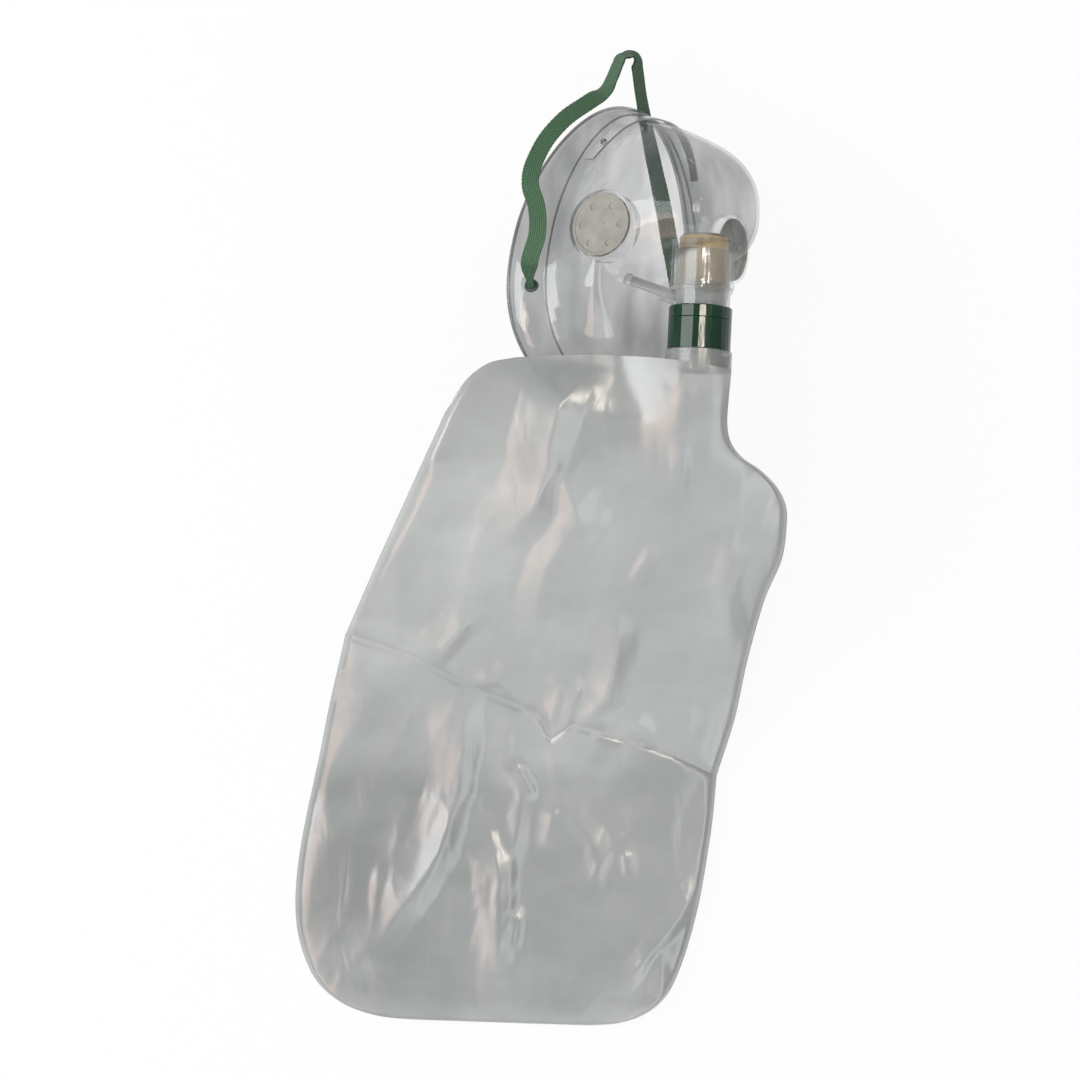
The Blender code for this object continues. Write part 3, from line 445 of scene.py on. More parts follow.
@dataclass(frozen=True)
class KnittedElastic(Finish):
    """Flat knitted elastic: rubber threads under green yarn, ribbed along its length."""

    # Eight ribs of 1 mm across the band, and courses 0.9 mm apart along it
    ribs: float = 8.0
    courses: float = 320.0
    # At this scale the wave pattern repeats once in a unit of its coordinates
    one_wave: float = 0.314
    course_share: float = 0.5
    evening: float = 0.66
    weave_depth: float = 0.35 * MM
    roughness: float = 0.62
    ior: float = 1.5
    specular: float = 0.6
    sheen: float = 0.3
    sheen_roughness: float = 0.35

    def make(self) -> bpy.types.Material:
        """Makes the material: ribs along the band, knitted courses across it, yarn sheen.

        Returns:
            The material.
        """
        material, shader = self.start(
            Roughness=self.roughness, IOR=self.ior, Specular_IOR_Level=self.specular,
            Sheen_Weight=self.sheen, Sheen_Roughness=self.sheen_roughness,
            Sheen_Tint=linear(Tint.BAG_FILM),
        )
        tree = material.node_tree
        band = add_node(tree, "ShaderNodeTexCoord").outputs["UV"]
        heights = []
        for direction, scale in (("Y", (0.0, self.ribs, 0.0)), ("X", (self.courses, 0.0, 0.0))):
            place = add_node(tree, "ShaderNodeMapping", {"Scale": scale}, {"Vector": band})
            wave = add_node(
                tree, "ShaderNodeTexWave",
                {"wave_type": "BANDS", "bands_direction": direction, "wave_profile": "SIN",
                 "Scale": self.one_wave, "Distortion": 0.0},
                {"Vector": place.outputs["Vector"]},
            )
            heights.append(wave.outputs["Fac"])
        cross = add_node(
            tree, "ShaderNodeMath", {"operation": "MULTIPLY", 1: self.course_share},
            {0: heights[1]},
        )
        weave = add_node(
            tree, "ShaderNodeMath", {"operation": "ADD"}, {0: heights[0], 1: cross.outputs[0]}
        )
        even = add_node(
            tree, "ShaderNodeMath", {"operation": "MULTIPLY", 1: self.evening},
            {0: weave.outputs[0]},
        ).outputs[0]
        stops = [(0.15, linear(Tint.ELASTIC_GREEN_DARK)), (0.85, linear(Tint.ELASTIC_GREEN))]
        tree.links.new(colour_ramp(tree, even, stops), shader.inputs["Base Color"])
        self.bump(tree, shader, even, self.weave_depth)
        return material


@dataclass(frozen=True)
class RolledAluminium(Finish):
    """Thin rolled aluminium strip with its edges slit."""

    # Rolling lines 0.4 mm apart
    line_scale: tuple = (300, 2500, 300)
    line_turn: float = math.radians(30)
    line_depth: float = 0.04 * MM
    smoothest: float = 0.22
    roughest: float = 0.42

    def make(self) -> bpy.types.Material:
        """Makes the material: rolling lines along the strip, worn brighter in places.

        Returns:
            The material.
        """
        material, shader = self.start(Metallic=1.0, Base_Color=linear(Tint.ALUMINIUM))
        tree = material.node_tree
        streak = add_node(
            tree, "ShaderNodeTexNoise", {"Detail": 2.0, "Scale": 1.0},
            {"Vector": self.place(tree, self.line_scale, (0, 0, self.line_turn))},
        ).outputs["Fac"]
        settings = {"To Min": self.smoothest, "To Max": self.roughest}
        rough = add_node(tree, "ShaderNodeMapRange", settings, {"Value": streak})
        tree.links.new(rough.outputs["Result"], shader.inputs["Roughness"])
        self.bump(tree, shader, streak, self.line_depth)
        return material


@dataclass(frozen=True)
class PaleTable(Finish):
    """The pale table top: white where the camera sees it, with the part's shadow kept."""

    glow: float = 0.93
    roughness: float = 0.9

    def make(self) -> bpy.types.Material:
        """Makes the material: matt white, lifted to white for camera and mirror rays.

        Returns:
            The material.
        """
        material, shader = self.start(Roughness=self.roughness, Base_Color=linear(Tint.TABLE))
        tree = material.node_tree
        path = add_node(tree, "ShaderNodeLightPath").outputs
        seen = add_node(
            tree, "ShaderNodeMath", {"operation": "MAXIMUM"},
            {0: path["Is Camera Ray"], 1: path["Is Glossy Ray"]},
        )
        either = add_node(
            tree, "ShaderNodeMath", {"operation": "MAXIMUM"},
            {0: seen.outputs[0], 1: path["Is Transmission Ray"]},
        )
        share = add_node(
            tree, "ShaderNodeMath", {"operation": "MULTIPLY", 1: self.glow}, {0: either.outputs[0]}
        )
        glow = add_node(tree, "ShaderNodeEmission", {"Strength": 1.0})
        mixed = add_node(
            tree, "ShaderNodeMixShader", None,
            {0: share.outputs[0], 1: shader.outputs[0], 2: glow.outputs[0]},
        )
        tree.links.new(mixed.outputs[0], tree.nodes["Material Output"].inputs["Surface"])
        return material


def link_mesh(name: str, bm: bmesh.types.BMesh, place: Matrix | None = None) -> bpy.types.Object:
    """Makes an object of a bmesh, with its place in its mesh.

    Args:
        name: The piece's name.
        bm: The shape; it is freed here.
        place: Where the shape goes.

    Returns:
        The new object, at the origin.
    """
    if place is not None:
        bmesh.ops.transform(bm, matrix=place, verts=bm.verts)
    mesh = bpy.data.meshes.new(name)
    bm.to_mesh(mesh)
    bm.free()
    mesh.shade_smooth()
    obj = bpy.data.objects.new(name, mesh)
    bpy.context.scene.collection.objects.link(obj)
    return obj


def evaluated(obj: bpy.types.Object) -> bpy.types.Mesh:
    """Gives a new mesh of an object with its modifiers or its bevel applied."""
    graph = bpy.context.evaluated_depsgraph_get()
    return bpy.data.meshes.new_from_object(obj.evaluated_get(graph))


def shade(mesh: bpy.types.Mesh, sharp: float = math.radians(40)) -> None:
    """Shades a mesh smooth and keeps the edges that turn by more than an angle sharp."""
    mesh.shade_smooth()
    mesh.set_sharp_from_angle(angle=sharp)


def settle(obj: bpy.types.Object) -> None:
    """Applies an object's modifiers and marks its sharp edges.

    Args:
        obj: The piece.
    """
    mesh = evaluated(obj)
    obj.modifiers.clear()
    obj.data = mesh
    shade(mesh)


def curve_mesh(curve: bpy.types.Curve) -> bpy.types.Mesh:
    """Turns a curve into a mesh.

    Args:
        curve: The curve.

    Returns:
        Its line as a mesh, or its round bead where it has a bevel.
    """
    path = bpy.data.objects.new(curve.name, curve)
    bpy.context.scene.collection.objects.link(path)
    mesh = evaluated(path)
    bpy.data.objects.remove(path, do_unlink=True)
    return mesh


def boolean(obj: bpy.types.Object, other: bpy.types.Object, operation: str) -> None:
    """Adds or cuts another shape and takes the other shape away.

    Args:
        obj: The piece.
        other: The shape to add or cut with.
        operation: UNION or DIFFERENCE.
    """
    step = obj.modifiers.new(operation.lower(), "BOOLEAN")
    step.operation = operation
    step.object = other
    step.solver = "EXACT"
    obj.data = evaluated(obj)
    obj.modifiers.clear()
    bpy.data.objects.remove(other, do_unlink=True)


def spun(profile: list[tuple[float, float]], steps: int, place: Matrix) -> bmesh.types.BMesh:
    """Spins a section about Z.

    Args:
        profile: Radius and height of each corner, in order round the section.
        steps: Facets round the turn.
        place: Where the turned shape goes.

    Returns:
        The closed shape.
    """
    bm = bmesh.new()
    verts = [bm.verts.new((radius, 0.0, height)) for radius, height in profile]
    edges = [bm.edges.new(pair) for pair in zip(verts, verts[1:] + verts[:1])]
    if profile[0][0] == 0.0:
        bm.edges.remove(edges.pop())
    bmesh.ops.spin(
        bm, geom=verts + edges, cent=(0, 0, 0), axis=(0, 0, 1), angle=math.tau, steps=steps,
        use_merge=True,
    )
    bmesh.ops.remove_doubles(bm, verts=bm.verts, dist=0.00001)
    bmesh.ops.recalc_face_normals(bm, faces=bm.faces)
    bmesh.ops.transform(bm, matrix=place, verts=bm.verts)
    return bm


def rod(bm: bmesh.types.BMesh, start: Vector, end: Vector, radius: float, steps: int) -> None:
    """Adds a closed rod between two points.

    Args:
        bm: The shape that gets the rod.
        start: Middle of one end.
        end: Middle of the other end.
        radius: The rod's radius.
        steps: Facets round it.
    """
    axis = end - start
    turn = axis.to_track_quat("Z", "Y").to_matrix().to_4x4()
    bmesh.ops.create_cone(
        bm, cap_ends=True, segments=steps, radius1=radius, radius2=radius, depth=axis.length,
        matrix=Matrix.Translation((start + end) / 2) @ turn,
    )


def pin(
    bm: bmesh.types.BMesh, place: Matrix, span: tuple[float, float], radius: float, steps: int,
    off: tuple[float, float] = (0.0, 0.0),
) -> None:
    """Adds a closed rod along the z of a frame.

    Args:
        bm: The shape that gets the rod.
        place: The frame.
        span: Heights of the rod's ends in that frame.
        radius: The rod's radius.
        steps: Facets round it.
        off: How far from the frame's z the rod stands.
    """
    low, high = (place @ Vector((*off, height)) for height in span)
    rod(bm, low, high, radius, steps)


def smooth_step(value: float) -> float:
    """Eases a value from zero to one with level ends."""
    value = min(1.0, max(0.0, value))
    return value * value * (3 - 2 * value)


def curve_between(
    a: float | Vector, b: float | Vector, c: float | Vector, d: float | Vector, t: float
) -> float | Vector:
    """Gives a value on the smooth curve through four values.

    Args:
        a: The value before.
        b: The value where the step starts.
        c: The value where it ends.
        d: The value after.
        t: How far from the second value to the third, from 0 to 1.

    Returns:
        The value there.
    """
    return 0.5 * (
        2 * b + (c - a) * t + (2 * a - 5 * b + 4 * c - d) * t**2
        + (3 * b - a - 3 * c + d) * t**3
    )


def dress(obj: bpy.types.Object, finish: Finish, slot: str, *nodes: str) -> None:
    """Gives a new piece its finish, hangs it under the root and hides the solids that it replaces.

    Args:
        obj: The piece.
        finish: Its finish.
        slot: The record's material slot; not used.
        nodes: The solids that it replaces.
    """
    obj.data.materials.clear()
    obj.data.materials.append(finish.make())
    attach(obj, "root")
    if nodes:
        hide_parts(*nodes)
    LOG.info("%s: %d faces", obj.name, len(obj.data.polygons))


def repaint(node: str, finish: Finish) -> None:
    """Gives a solid of the frame its finish.

    Args:
        node: The solid's name.
        finish: Its finish.
    """
    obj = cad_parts[node]
    material = finish.make()
    for slot in obj.material_slots:
        slot.material = material
    LOG.info("%s: repainted", node)


@dataclass
class MaskBody:
    """The clear mask: rim, cheeks and snout in one moulding, as a loft of measured sections."""

    wall: float = 1.4 * MM
    ring_points: int = 128
    rows_between: int = 4
    # The loft stays open beyond this depth, and one flat face closes it
    front_from: float = 60.0 * MM
    # Round beads along the rim and under the step, each at a place between two sections
    rim_bead_at: float = 0.36
    rim_bead: float = 0.75 * MM
    step_bead_at: float = 3.3
    step_bead: float = 0.45 * MM
    # How the mask lies: on its far cheek, with the rim just over the table
    turn: float = math.radians(49.0)
    pitch: float = math.radians(-4.0)
    roll: float = math.radians(-3.0)
    at: Vector = Vector((38.2, 124.7)) * MM
    rest_gap: float = 0.1 * MM
    rim_steps: int = 36
    # The rim's sides are drawn back round the cheeks, and the outline narrows as an egg does
    rim_sag: float = 14.0 * MM
    rim_sag_reach: float = 30.0 * MM
    rim_half_width: float = 55.0 * MM
    rim_edge_depth: float = -3.0 * MM
    egg_low: float = -70.0 * MM
    egg_span: float = 138.0 * MM
    # Depth out of the face, half width, top, bottom, squareness and taper, lengths in mm
    sections: tuple = (
        (-3.0, 58.0, 68.2, -70.0, 2.30, 0.30),
        (0.0, 57.6, 67.9, -69.7, 2.30, 0.30),
        (2.6, 54.2, 66.4, -67.2, 2.30, 0.31),
        (4.4, 50.2, 64.8, -63.8, 2.30, 0.33),
        (7.6, 47.6, 63.4, -60.5, 2.35, 0.35),
        (13.0, 46.6, 61.8, -57.0, 2.40, 0.37),
        (18.0, 46.3, 60.2, -52.0, 2.45, 0.38),
        (22.0, 46.1, 58.8, -46.0, 2.50, 0.38),
        (24.6, 45.9, 58.0, -40.0, 2.55, 0.38),
        (26.2, 45.6, 57.4, -32.5, 2.60, 0.38),
        (27.8, 45.2, 56.7, -24.0, 2.60, 0.38),
        (31.5, 44.0, 55.4, -17.5, 2.60, 0.38),
        (38.0, 41.0, 52.8, -12.0, 2.55, 0.36),
        (45.5, 36.6, 49.6, -7.5, 2.50, 0.33),
        (53.0, 31.4, 45.6, -4.5, 2.50, 0.28),
        (59.0, 26.0, 40.8, -2.0, 2.50, 0.20),
        (64.0, 20.0, 34.8, 1.5, 2.45, 0.12),
        (67.6, 12.3, 28.4, 6.5, 2.30, 0.05),
        (69.4, 4.6, 22.4, 12.6, 2.00, 0.00),
    )
    # Exhalation ports on both cheeks, each placed by its section and its turn round it
    port_section: float = 9.4
    port_turn: float = math.radians(184.5)
    port_radius: float = 15.4 * MM
    port_lip: float = 1.2 * MM
    port_stand: float = 0.9 * MM
    port_skirt: float = 7.5 * MM
    port_plate_drop: float = 1.0 * MM
    port_plate: float = 1.2 * MM
    port_round: float = 0.3 * MM
    port_holes: int = 6
    port_hole_radius: float = 2.1 * MM
    port_hole_circle: float = 9.4 * MM
    port_centre_hole: float = 1.3 * MM
    port_facets: int = 96
    hole_facets: int = 24
    # Eyelets for the head strap, in the rim
    eyelet_section: float = 2.15
    eyelet_turn: float = math.radians(192.0)
    eyelet_radius: float = 4.3 * MM
    eyelet_hole: float = 2.5 * MM
    eyelet_stand: float = 1.0 * MM
    eyelet_cut: float = 9.0 * MM
    eyelet_facets: int = 40
    eyelet_hole_facets: int = 32
    # The nose clip runs over the ridge, with a stud at a share of each half
    clip_half_span: float = math.radians(56.0)
    clip_middle: float = 5.6
    clip_end: float = 4.4
    clip_share: float = 0.8
    stud_radius: float = 1.3 * MM
    stud_top: float = 2.3 * MM
    # The neck runs down under the snout, with its heights along itself
    neck_out: float = 50.0 * MM
    neck_radius: float = 13.6 * MM
    neck_wall: float = 1.2 * MM
    neck_top: float = 4.0 * MM
    neck_bottom: float = -16.3 * MM
    neck_bead: float = 0.6 * MM
    neck_bead_height: float = 2.2 * MM
    neck_facets: int = 96
    # No facet edge of the neck meets an edge of the loft
    neck_facet_turn: float = math.radians(1.3)
    # The snout was stretched most in the mould, so its wall is clearest
    snout_middle: Vector = Vector((0.0, 20.0, 52.0)) * MM
    snout_clear: float = 0.43
    # Faces this near the neck are of the stiffer, clearer vinyl, and so are those near the far
    # port, which are painted light: lighter and clearer than the near port, to lift the shade and
    # the stacked walls there
    port_margin: float = 0.1 * MM
    clear_margin: float = 1.0 * MM
    clear_neck_top: float = 0.5 * MM

    def section(self, place: float) -> list[float]:
        """Gives the section at a place between the rows, in straight steps as the solid has it.

        Args:
            place: Row number, with the share of the way to the next row.

        Returns:
            The section's six numbers.
        """
        row = min(int(place), len(self.sections) - 2)
        share = place - row
        return [a + (b - a) * share for a, b in zip(self.sections[row], self.sections[row + 1])]

    def smooth_section(self, place: float) -> list[float]:
        """Gives the section at a place on a smooth curve through the rows.

        Args:
            place: Row number, with the share of the way to the next row.

        Returns:
            The section's six numbers.
        """
        last = len(self.sections) - 1
        row = min(int(place), last - 1)
        near = [self.sections[min(max(row + step, 0), last)] for step in (-1, 0, 1, 2)]
        return [curve_between(*values, place - row) for values in zip(*near)]

    def point(self, section: list[float], turn: float) -> Vector:
        """Gives a point of the outer face.

        Args:
            section: The section's six numbers.
            turn: How far round the section.

        Returns:
            The point in the mask's own frame.
        """
        depth, half_width, top, bottom, square, taper = section
        side, rise = math.cos(turn), math.sin(turn)
        across = math.copysign(abs(side) ** (2 / square), side)
        up = math.copysign(abs(rise) ** (2 / square), rise)
        y = (top + bottom) / 2 * MM + up * (top - bottom) / 2 * MM
        x = across * (1 - taper * ((y - self.egg_low) / self.egg_span) ** 2) * half_width * MM
        fade = 1 - min(1.0, max(0.0, depth * MM - self.rim_edge_depth) / self.rim_sag_reach)
        sag = self.rim_sag * fade**1.5 * (x / self.rim_half_width) ** 2
        return Vector((x, y, depth * MM - sag))

    def stand(self, place: float, turn: float) -> Matrix:
        """Gives a frame on the outer face with z outwards, as the solid's pieces use it.

        Args:
            place: Row number, with the share of the way to the next row.
            turn: How far round the section.

        Returns:
            The frame, in the mask's own frame.
        """
        step = 0.05
        at = self.point(self.section(place), turn)
        along = self.point(self.section(place + step), turn)
        along -= self.point(self.section(place - step), turn)
        around = self.point(self.section(place), turn + step)
        around -= self.point(self.section(place), turn - step)
        normal = around.cross(along).normalized()
        side = Vector((0, 1, 0)).cross(normal).normalized()
        matrix = Matrix((side, normal.cross(side), normal)).transposed().to_4x4()
        matrix.translation = at
        return matrix

    def world(self) -> Matrix:
        """Gives the mask frame in the world, with the far rim on the table.

        Returns:
            The frame.
        """
        turn = (
            Matrix.Rotation(self.roll, 4, "Z")
            @ Matrix.Rotation(self.pitch, 4, "X")
            @ Matrix.Rotation(math.pi / 2 - self.turn, 4, "Y")
        )
        steps = self.rim_steps
        rim = [self.point(self.section(0.0), math.tau * step / steps) for step in range(steps)]
        lowest = min((turn @ point).z for point in rim)
        lift = Vector((self.at.x, self.at.y, self.rest_gap - lowest))
        return Matrix.Translation(lift + DRAWING_SHIFT) @ turn

    def neck(self) -> Matrix:
        """Gives the neck frame in the world, with z along the neck towards the nose."""
        down = Matrix.Rotation(-math.pi / 2, 4, "X")
        return self.world() @ Matrix.Translation((0, 0, self.neck_out)) @ down

    def sides(self, turn: float) -> list[float]:
        """Gives an angle and its mirror on the other cheek."""
        return [turn, math.pi - turn]

    def skin(self) -> bpy.types.Object:
        """Builds the wall as a loft from the rim to the front of the snout.

        Returns:
            The wall, in the mask's own frame.
        """
        rows = (len(self.sections) - 1) * self.rows_between
        bm = bmesh.new()
        bmesh.ops.create_grid(bm, x_segments=self.ring_points, y_segments=rows, size=0.5)
        last = len(self.sections) - 1
        for vert in bm.verts:
            turn = (vert.co.x + 0.5) * math.tau
            place = (vert.co.y + 0.5) * last
            vert.co = self.point(self.smooth_section(min(place, last - 0.0001)), turn)
        bmesh.ops.remove_doubles(bm, verts=bm.verts, dist=0.00002)
        front = [e for e in bm.edges if e.is_boundary and e.verts[0].co.z > self.front_from]
        bmesh.ops.edgeloop_fill(bm, edges=front)
        bmesh.ops.recalc_face_normals(bm, faces=bm.faces)
        shell = link_mesh("clear_mask", bm)
        step = shell.modifiers.new("wall", "SOLIDIFY")
        step.thickness = self.wall
        step.offset = -1.0
        step.use_even_offset = True
        settle(shell)
        return shell

    def port_section_profile(self) -> list[tuple[float, float]]:
        """Gives the section of a port: lip, skirt and the plate under the flap.

        Returns:
            Radius and height of each corner.
        """
        inner = self.port_radius - self.port_lip
        low = -self.port_plate_drop - self.port_plate
        half = self.port_radius - self.port_lip / 2
        return [
            (0.0, -self.port_plate_drop),
            (inner, -self.port_plate_drop),
            (inner, self.port_stand - self.port_round),
            (inner + self.port_round, self.port_stand),
            (self.port_radius - self.port_round, self.port_stand),
            (self.port_radius, self.port_stand - self.port_round),
            (self.port_radius, -self.port_skirt),
            (half, -self.port_skirt),
            (half, low),
            (0.0, low),
        ]

    def add_ports(self, shell: bpy.types.Object) -> None:
        """Opens both cheeks and moulds the exhalation ports into them.

        Args:
            shell: The mask.
        """
        reach = self.port_skirt * 2
        radius = self.port_radius - self.port_lip / 4
        places = [self.stand(self.port_section, turn) for turn in self.sides(self.port_turn)]
        bm = bmesh.new()
        for place in places:
            pin(bm, place, (-reach, reach), radius, self.port_facets)
        boolean(shell, link_mesh("port_cut", bm), "DIFFERENCE")
        for place in places:
            form = spun(self.port_section_profile(), self.port_facets, place)
            boolean(shell, link_mesh("port_form", form), "UNION")

    def add_bead(self, shell: bpy.types.Object, place: float, radius: float) -> None:
        """Rolls a round bead along a section of the mask.

        Args:
            shell: The mask.
            place: Which section.
            radius: The bead's radius.
        """
        curve = bpy.data.curves.new("rim_bead", "CURVE")
        curve.dimensions = "3D"
        curve.bevel_depth = radius
        curve.bevel_resolution = 3
        spline = curve.splines.new("POLY")
        spline.points.add(self.ring_points - 1)
        spline.use_cyclic_u = True
        for index, knot in enumerate(spline.points):
            at = self.point(self.smooth_section(place), math.tau * index / self.ring_points)
            knot.co = (*at, 1.0)
        bm = bmesh.new()
        bm.from_mesh(shell.data)
        bm.from_mesh(curve_mesh(curve))
        bm.to_mesh(shell.data)
        bm.free()

    def add_small_forms(self, shell: bpy.types.Object) -> None:
        """Adds the clip's studs and the strap's eyelets, then cuts every hole.

        Args:
            shell: The mask.
        """
        bm = bmesh.new()
        for share in (-self.clip_share, self.clip_share):
            place = self.clip_middle + (self.clip_end - self.clip_middle) * share**2
            stand = self.stand(place, math.pi / 2 - self.clip_half_span * share)
            span = (-self.wall / 2, self.stud_top)
            pin(bm, stand, span, self.stud_radius, self.hole_facets)
        eyelets = [self.stand(self.eyelet_section, turn) for turn in self.sides(self.eyelet_turn)]
        span = (-self.wall - self.eyelet_stand / 2, self.eyelet_stand)
        for stand in eyelets:
            pin(bm, stand, span, self.eyelet_radius, self.eyelet_facets)
        boolean(shell, link_mesh("stud_forms", bm), "UNION")
        bm = bmesh.new()
        span = (-self.eyelet_cut, self.eyelet_cut)
        for stand in eyelets:
            pin(bm, stand, span, self.eyelet_hole, self.eyelet_hole_facets)
        span = (-self.port_skirt * 2, self.port_skirt * 2)
        for turn in self.sides(self.port_turn):
            stand = self.stand(self.port_section, turn)
            for index in range(self.port_holes + 1):
                angle = math.tau * index / self.port_holes
                ring = index < self.port_holes
                reach = self.port_hole_circle if ring else 0.0
                radius = self.port_hole_radius if ring else self.port_centre_hole
                off = (reach * math.cos(angle), reach * math.sin(angle))
                pin(bm, stand, span, radius, self.hole_facets, off)
        boolean(shell, link_mesh("hole_cuts", bm), "DIFFERENCE")

    def add_neck(self, shell: bpy.types.Object) -> None:
        """Adds the neck under the snout and bores it.

        Args:
            shell: The mask.
        """
        inner = self.neck_radius - self.neck_wall
        bead_top = self.neck_bottom + self.neck_bead_height
        profile = [
            (0.0, self.neck_top),
            (self.neck_radius, self.neck_top),
            (self.neck_radius, bead_top),
            (self.neck_radius + self.neck_bead, bead_top - self.neck_bead),
            (self.neck_radius + self.neck_bead, self.neck_bottom),
            (0.0, self.neck_bottom),
        ]
        down = Matrix.Rotation(-math.pi / 2, 4, "X")
        down = down @ Matrix.Rotation(self.neck_facet_turn, 4, "Z")
        place = Matrix.Translation((0, 0, self.neck_out)) @ down
        form = link_mesh("neck_form", spun(profile, self.neck_facets, place))
        boolean(shell, form, "UNION")
        bm = bmesh.new()
        pin(bm, place, (self.neck_bottom - MM, self.neck_top + MM), inner, self.neck_facets)
        boolean(shell, link_mesh("neck_bore", bm), "DIFFERENCE")

    def build(self) -> bpy.types.Object:
        """Builds the mask and puts it in its place.

        Returns:
            The finished mask.
        """
        shell = self.skin()
        self.add_ports(shell)
        self.add_small_forms(shell)
        self.add_neck(shell)
        self.add_bead(shell, self.rim_bead_at, self.rim_bead)
        self.add_bead(shell, self.step_bead_at, self.step_bead)
        shell.data.transform(self.world())
        shade(shell.data)
        snout = self.world() @ self.snout_middle
        vinyl = ClearVinyl("clear_moulded_vinyl", spot=snout, spot_clear=self.snout_clear)
        dress(shell, vinyl, "clear_vinyl", "mask_shell")
        neck_vinyl = ClearVinyl(
            "clear_neck_vinyl", face=0.11, edge=0.6, roughness=0.05,
            thin=Tint.CLEAR_NECK, thick=Tint.CLEAR_NECK_THICK,
        )
        shell.data.materials.append(neck_vinyl.make())
        into_neck = self.neck().inverted()
        # The far port's faces take the lighter, clearer vinyl: painted light that lifts the shade
        # it lies in
        into_port = self.world() @ self.stand(self.port_section, math.pi - self.port_turn)
        into_port.invert()
        for face in shell.data.polygons:
            place = into_neck @ face.center
            round_neck = math.hypot(place.x, place.y) < self.neck_radius + self.clear_margin
            spot = into_port @ face.center
            in_port = math.hypot(spot.x, spot.y) < self.port_radius + self.port_margin
            in_port = in_port and abs(spot.z) < self.port_skirt + self.clear_margin
            in_neck = round_neck and place.z < self.clear_neck_top
            face.material_index = int(in_port or in_neck)
        return shell


@dataclass(frozen=True)
class Fold:
    """A fold of the film: its ridge from the neck end down, two flanks and a height, in mm."""

    path: tuple
    left: float
    right: float
    height: float
    # A fold keeps this share of its height at its ends, and rises this steeply from there
    end_share: float = 0.22
    end_rise: float = 3.6

    def rise(self, point: Vector) -> float:
        """Gives the fold's height at a place.

        Args:
            point: A place on the bag, in mm.

        Returns:
            The height in mm, zero away from the fold.
        """
        best = 0.0
        total = len(self.path) - 1
        for index, (start, end) in enumerate(zip(self.path, self.path[1:])):
            a, b = Vector(start), Vector(end)
            span = b - a
            along = (point - a).dot(span) / span.length_squared
            held = min(1.0, max(0.0, along))
            away = point - (a + span * held)
            side = span.x * away.y - span.y * away.x
            reach = self.left if side < 0 else self.right
            flank = max(0.0, 1.0 - away.length / reach)
            from_end = min(index + held, total - index - held)
            ends = min(1.0, self.end_rise * from_end / total + self.end_share)
            best = max(best, self.height * flank * ends)
        return best


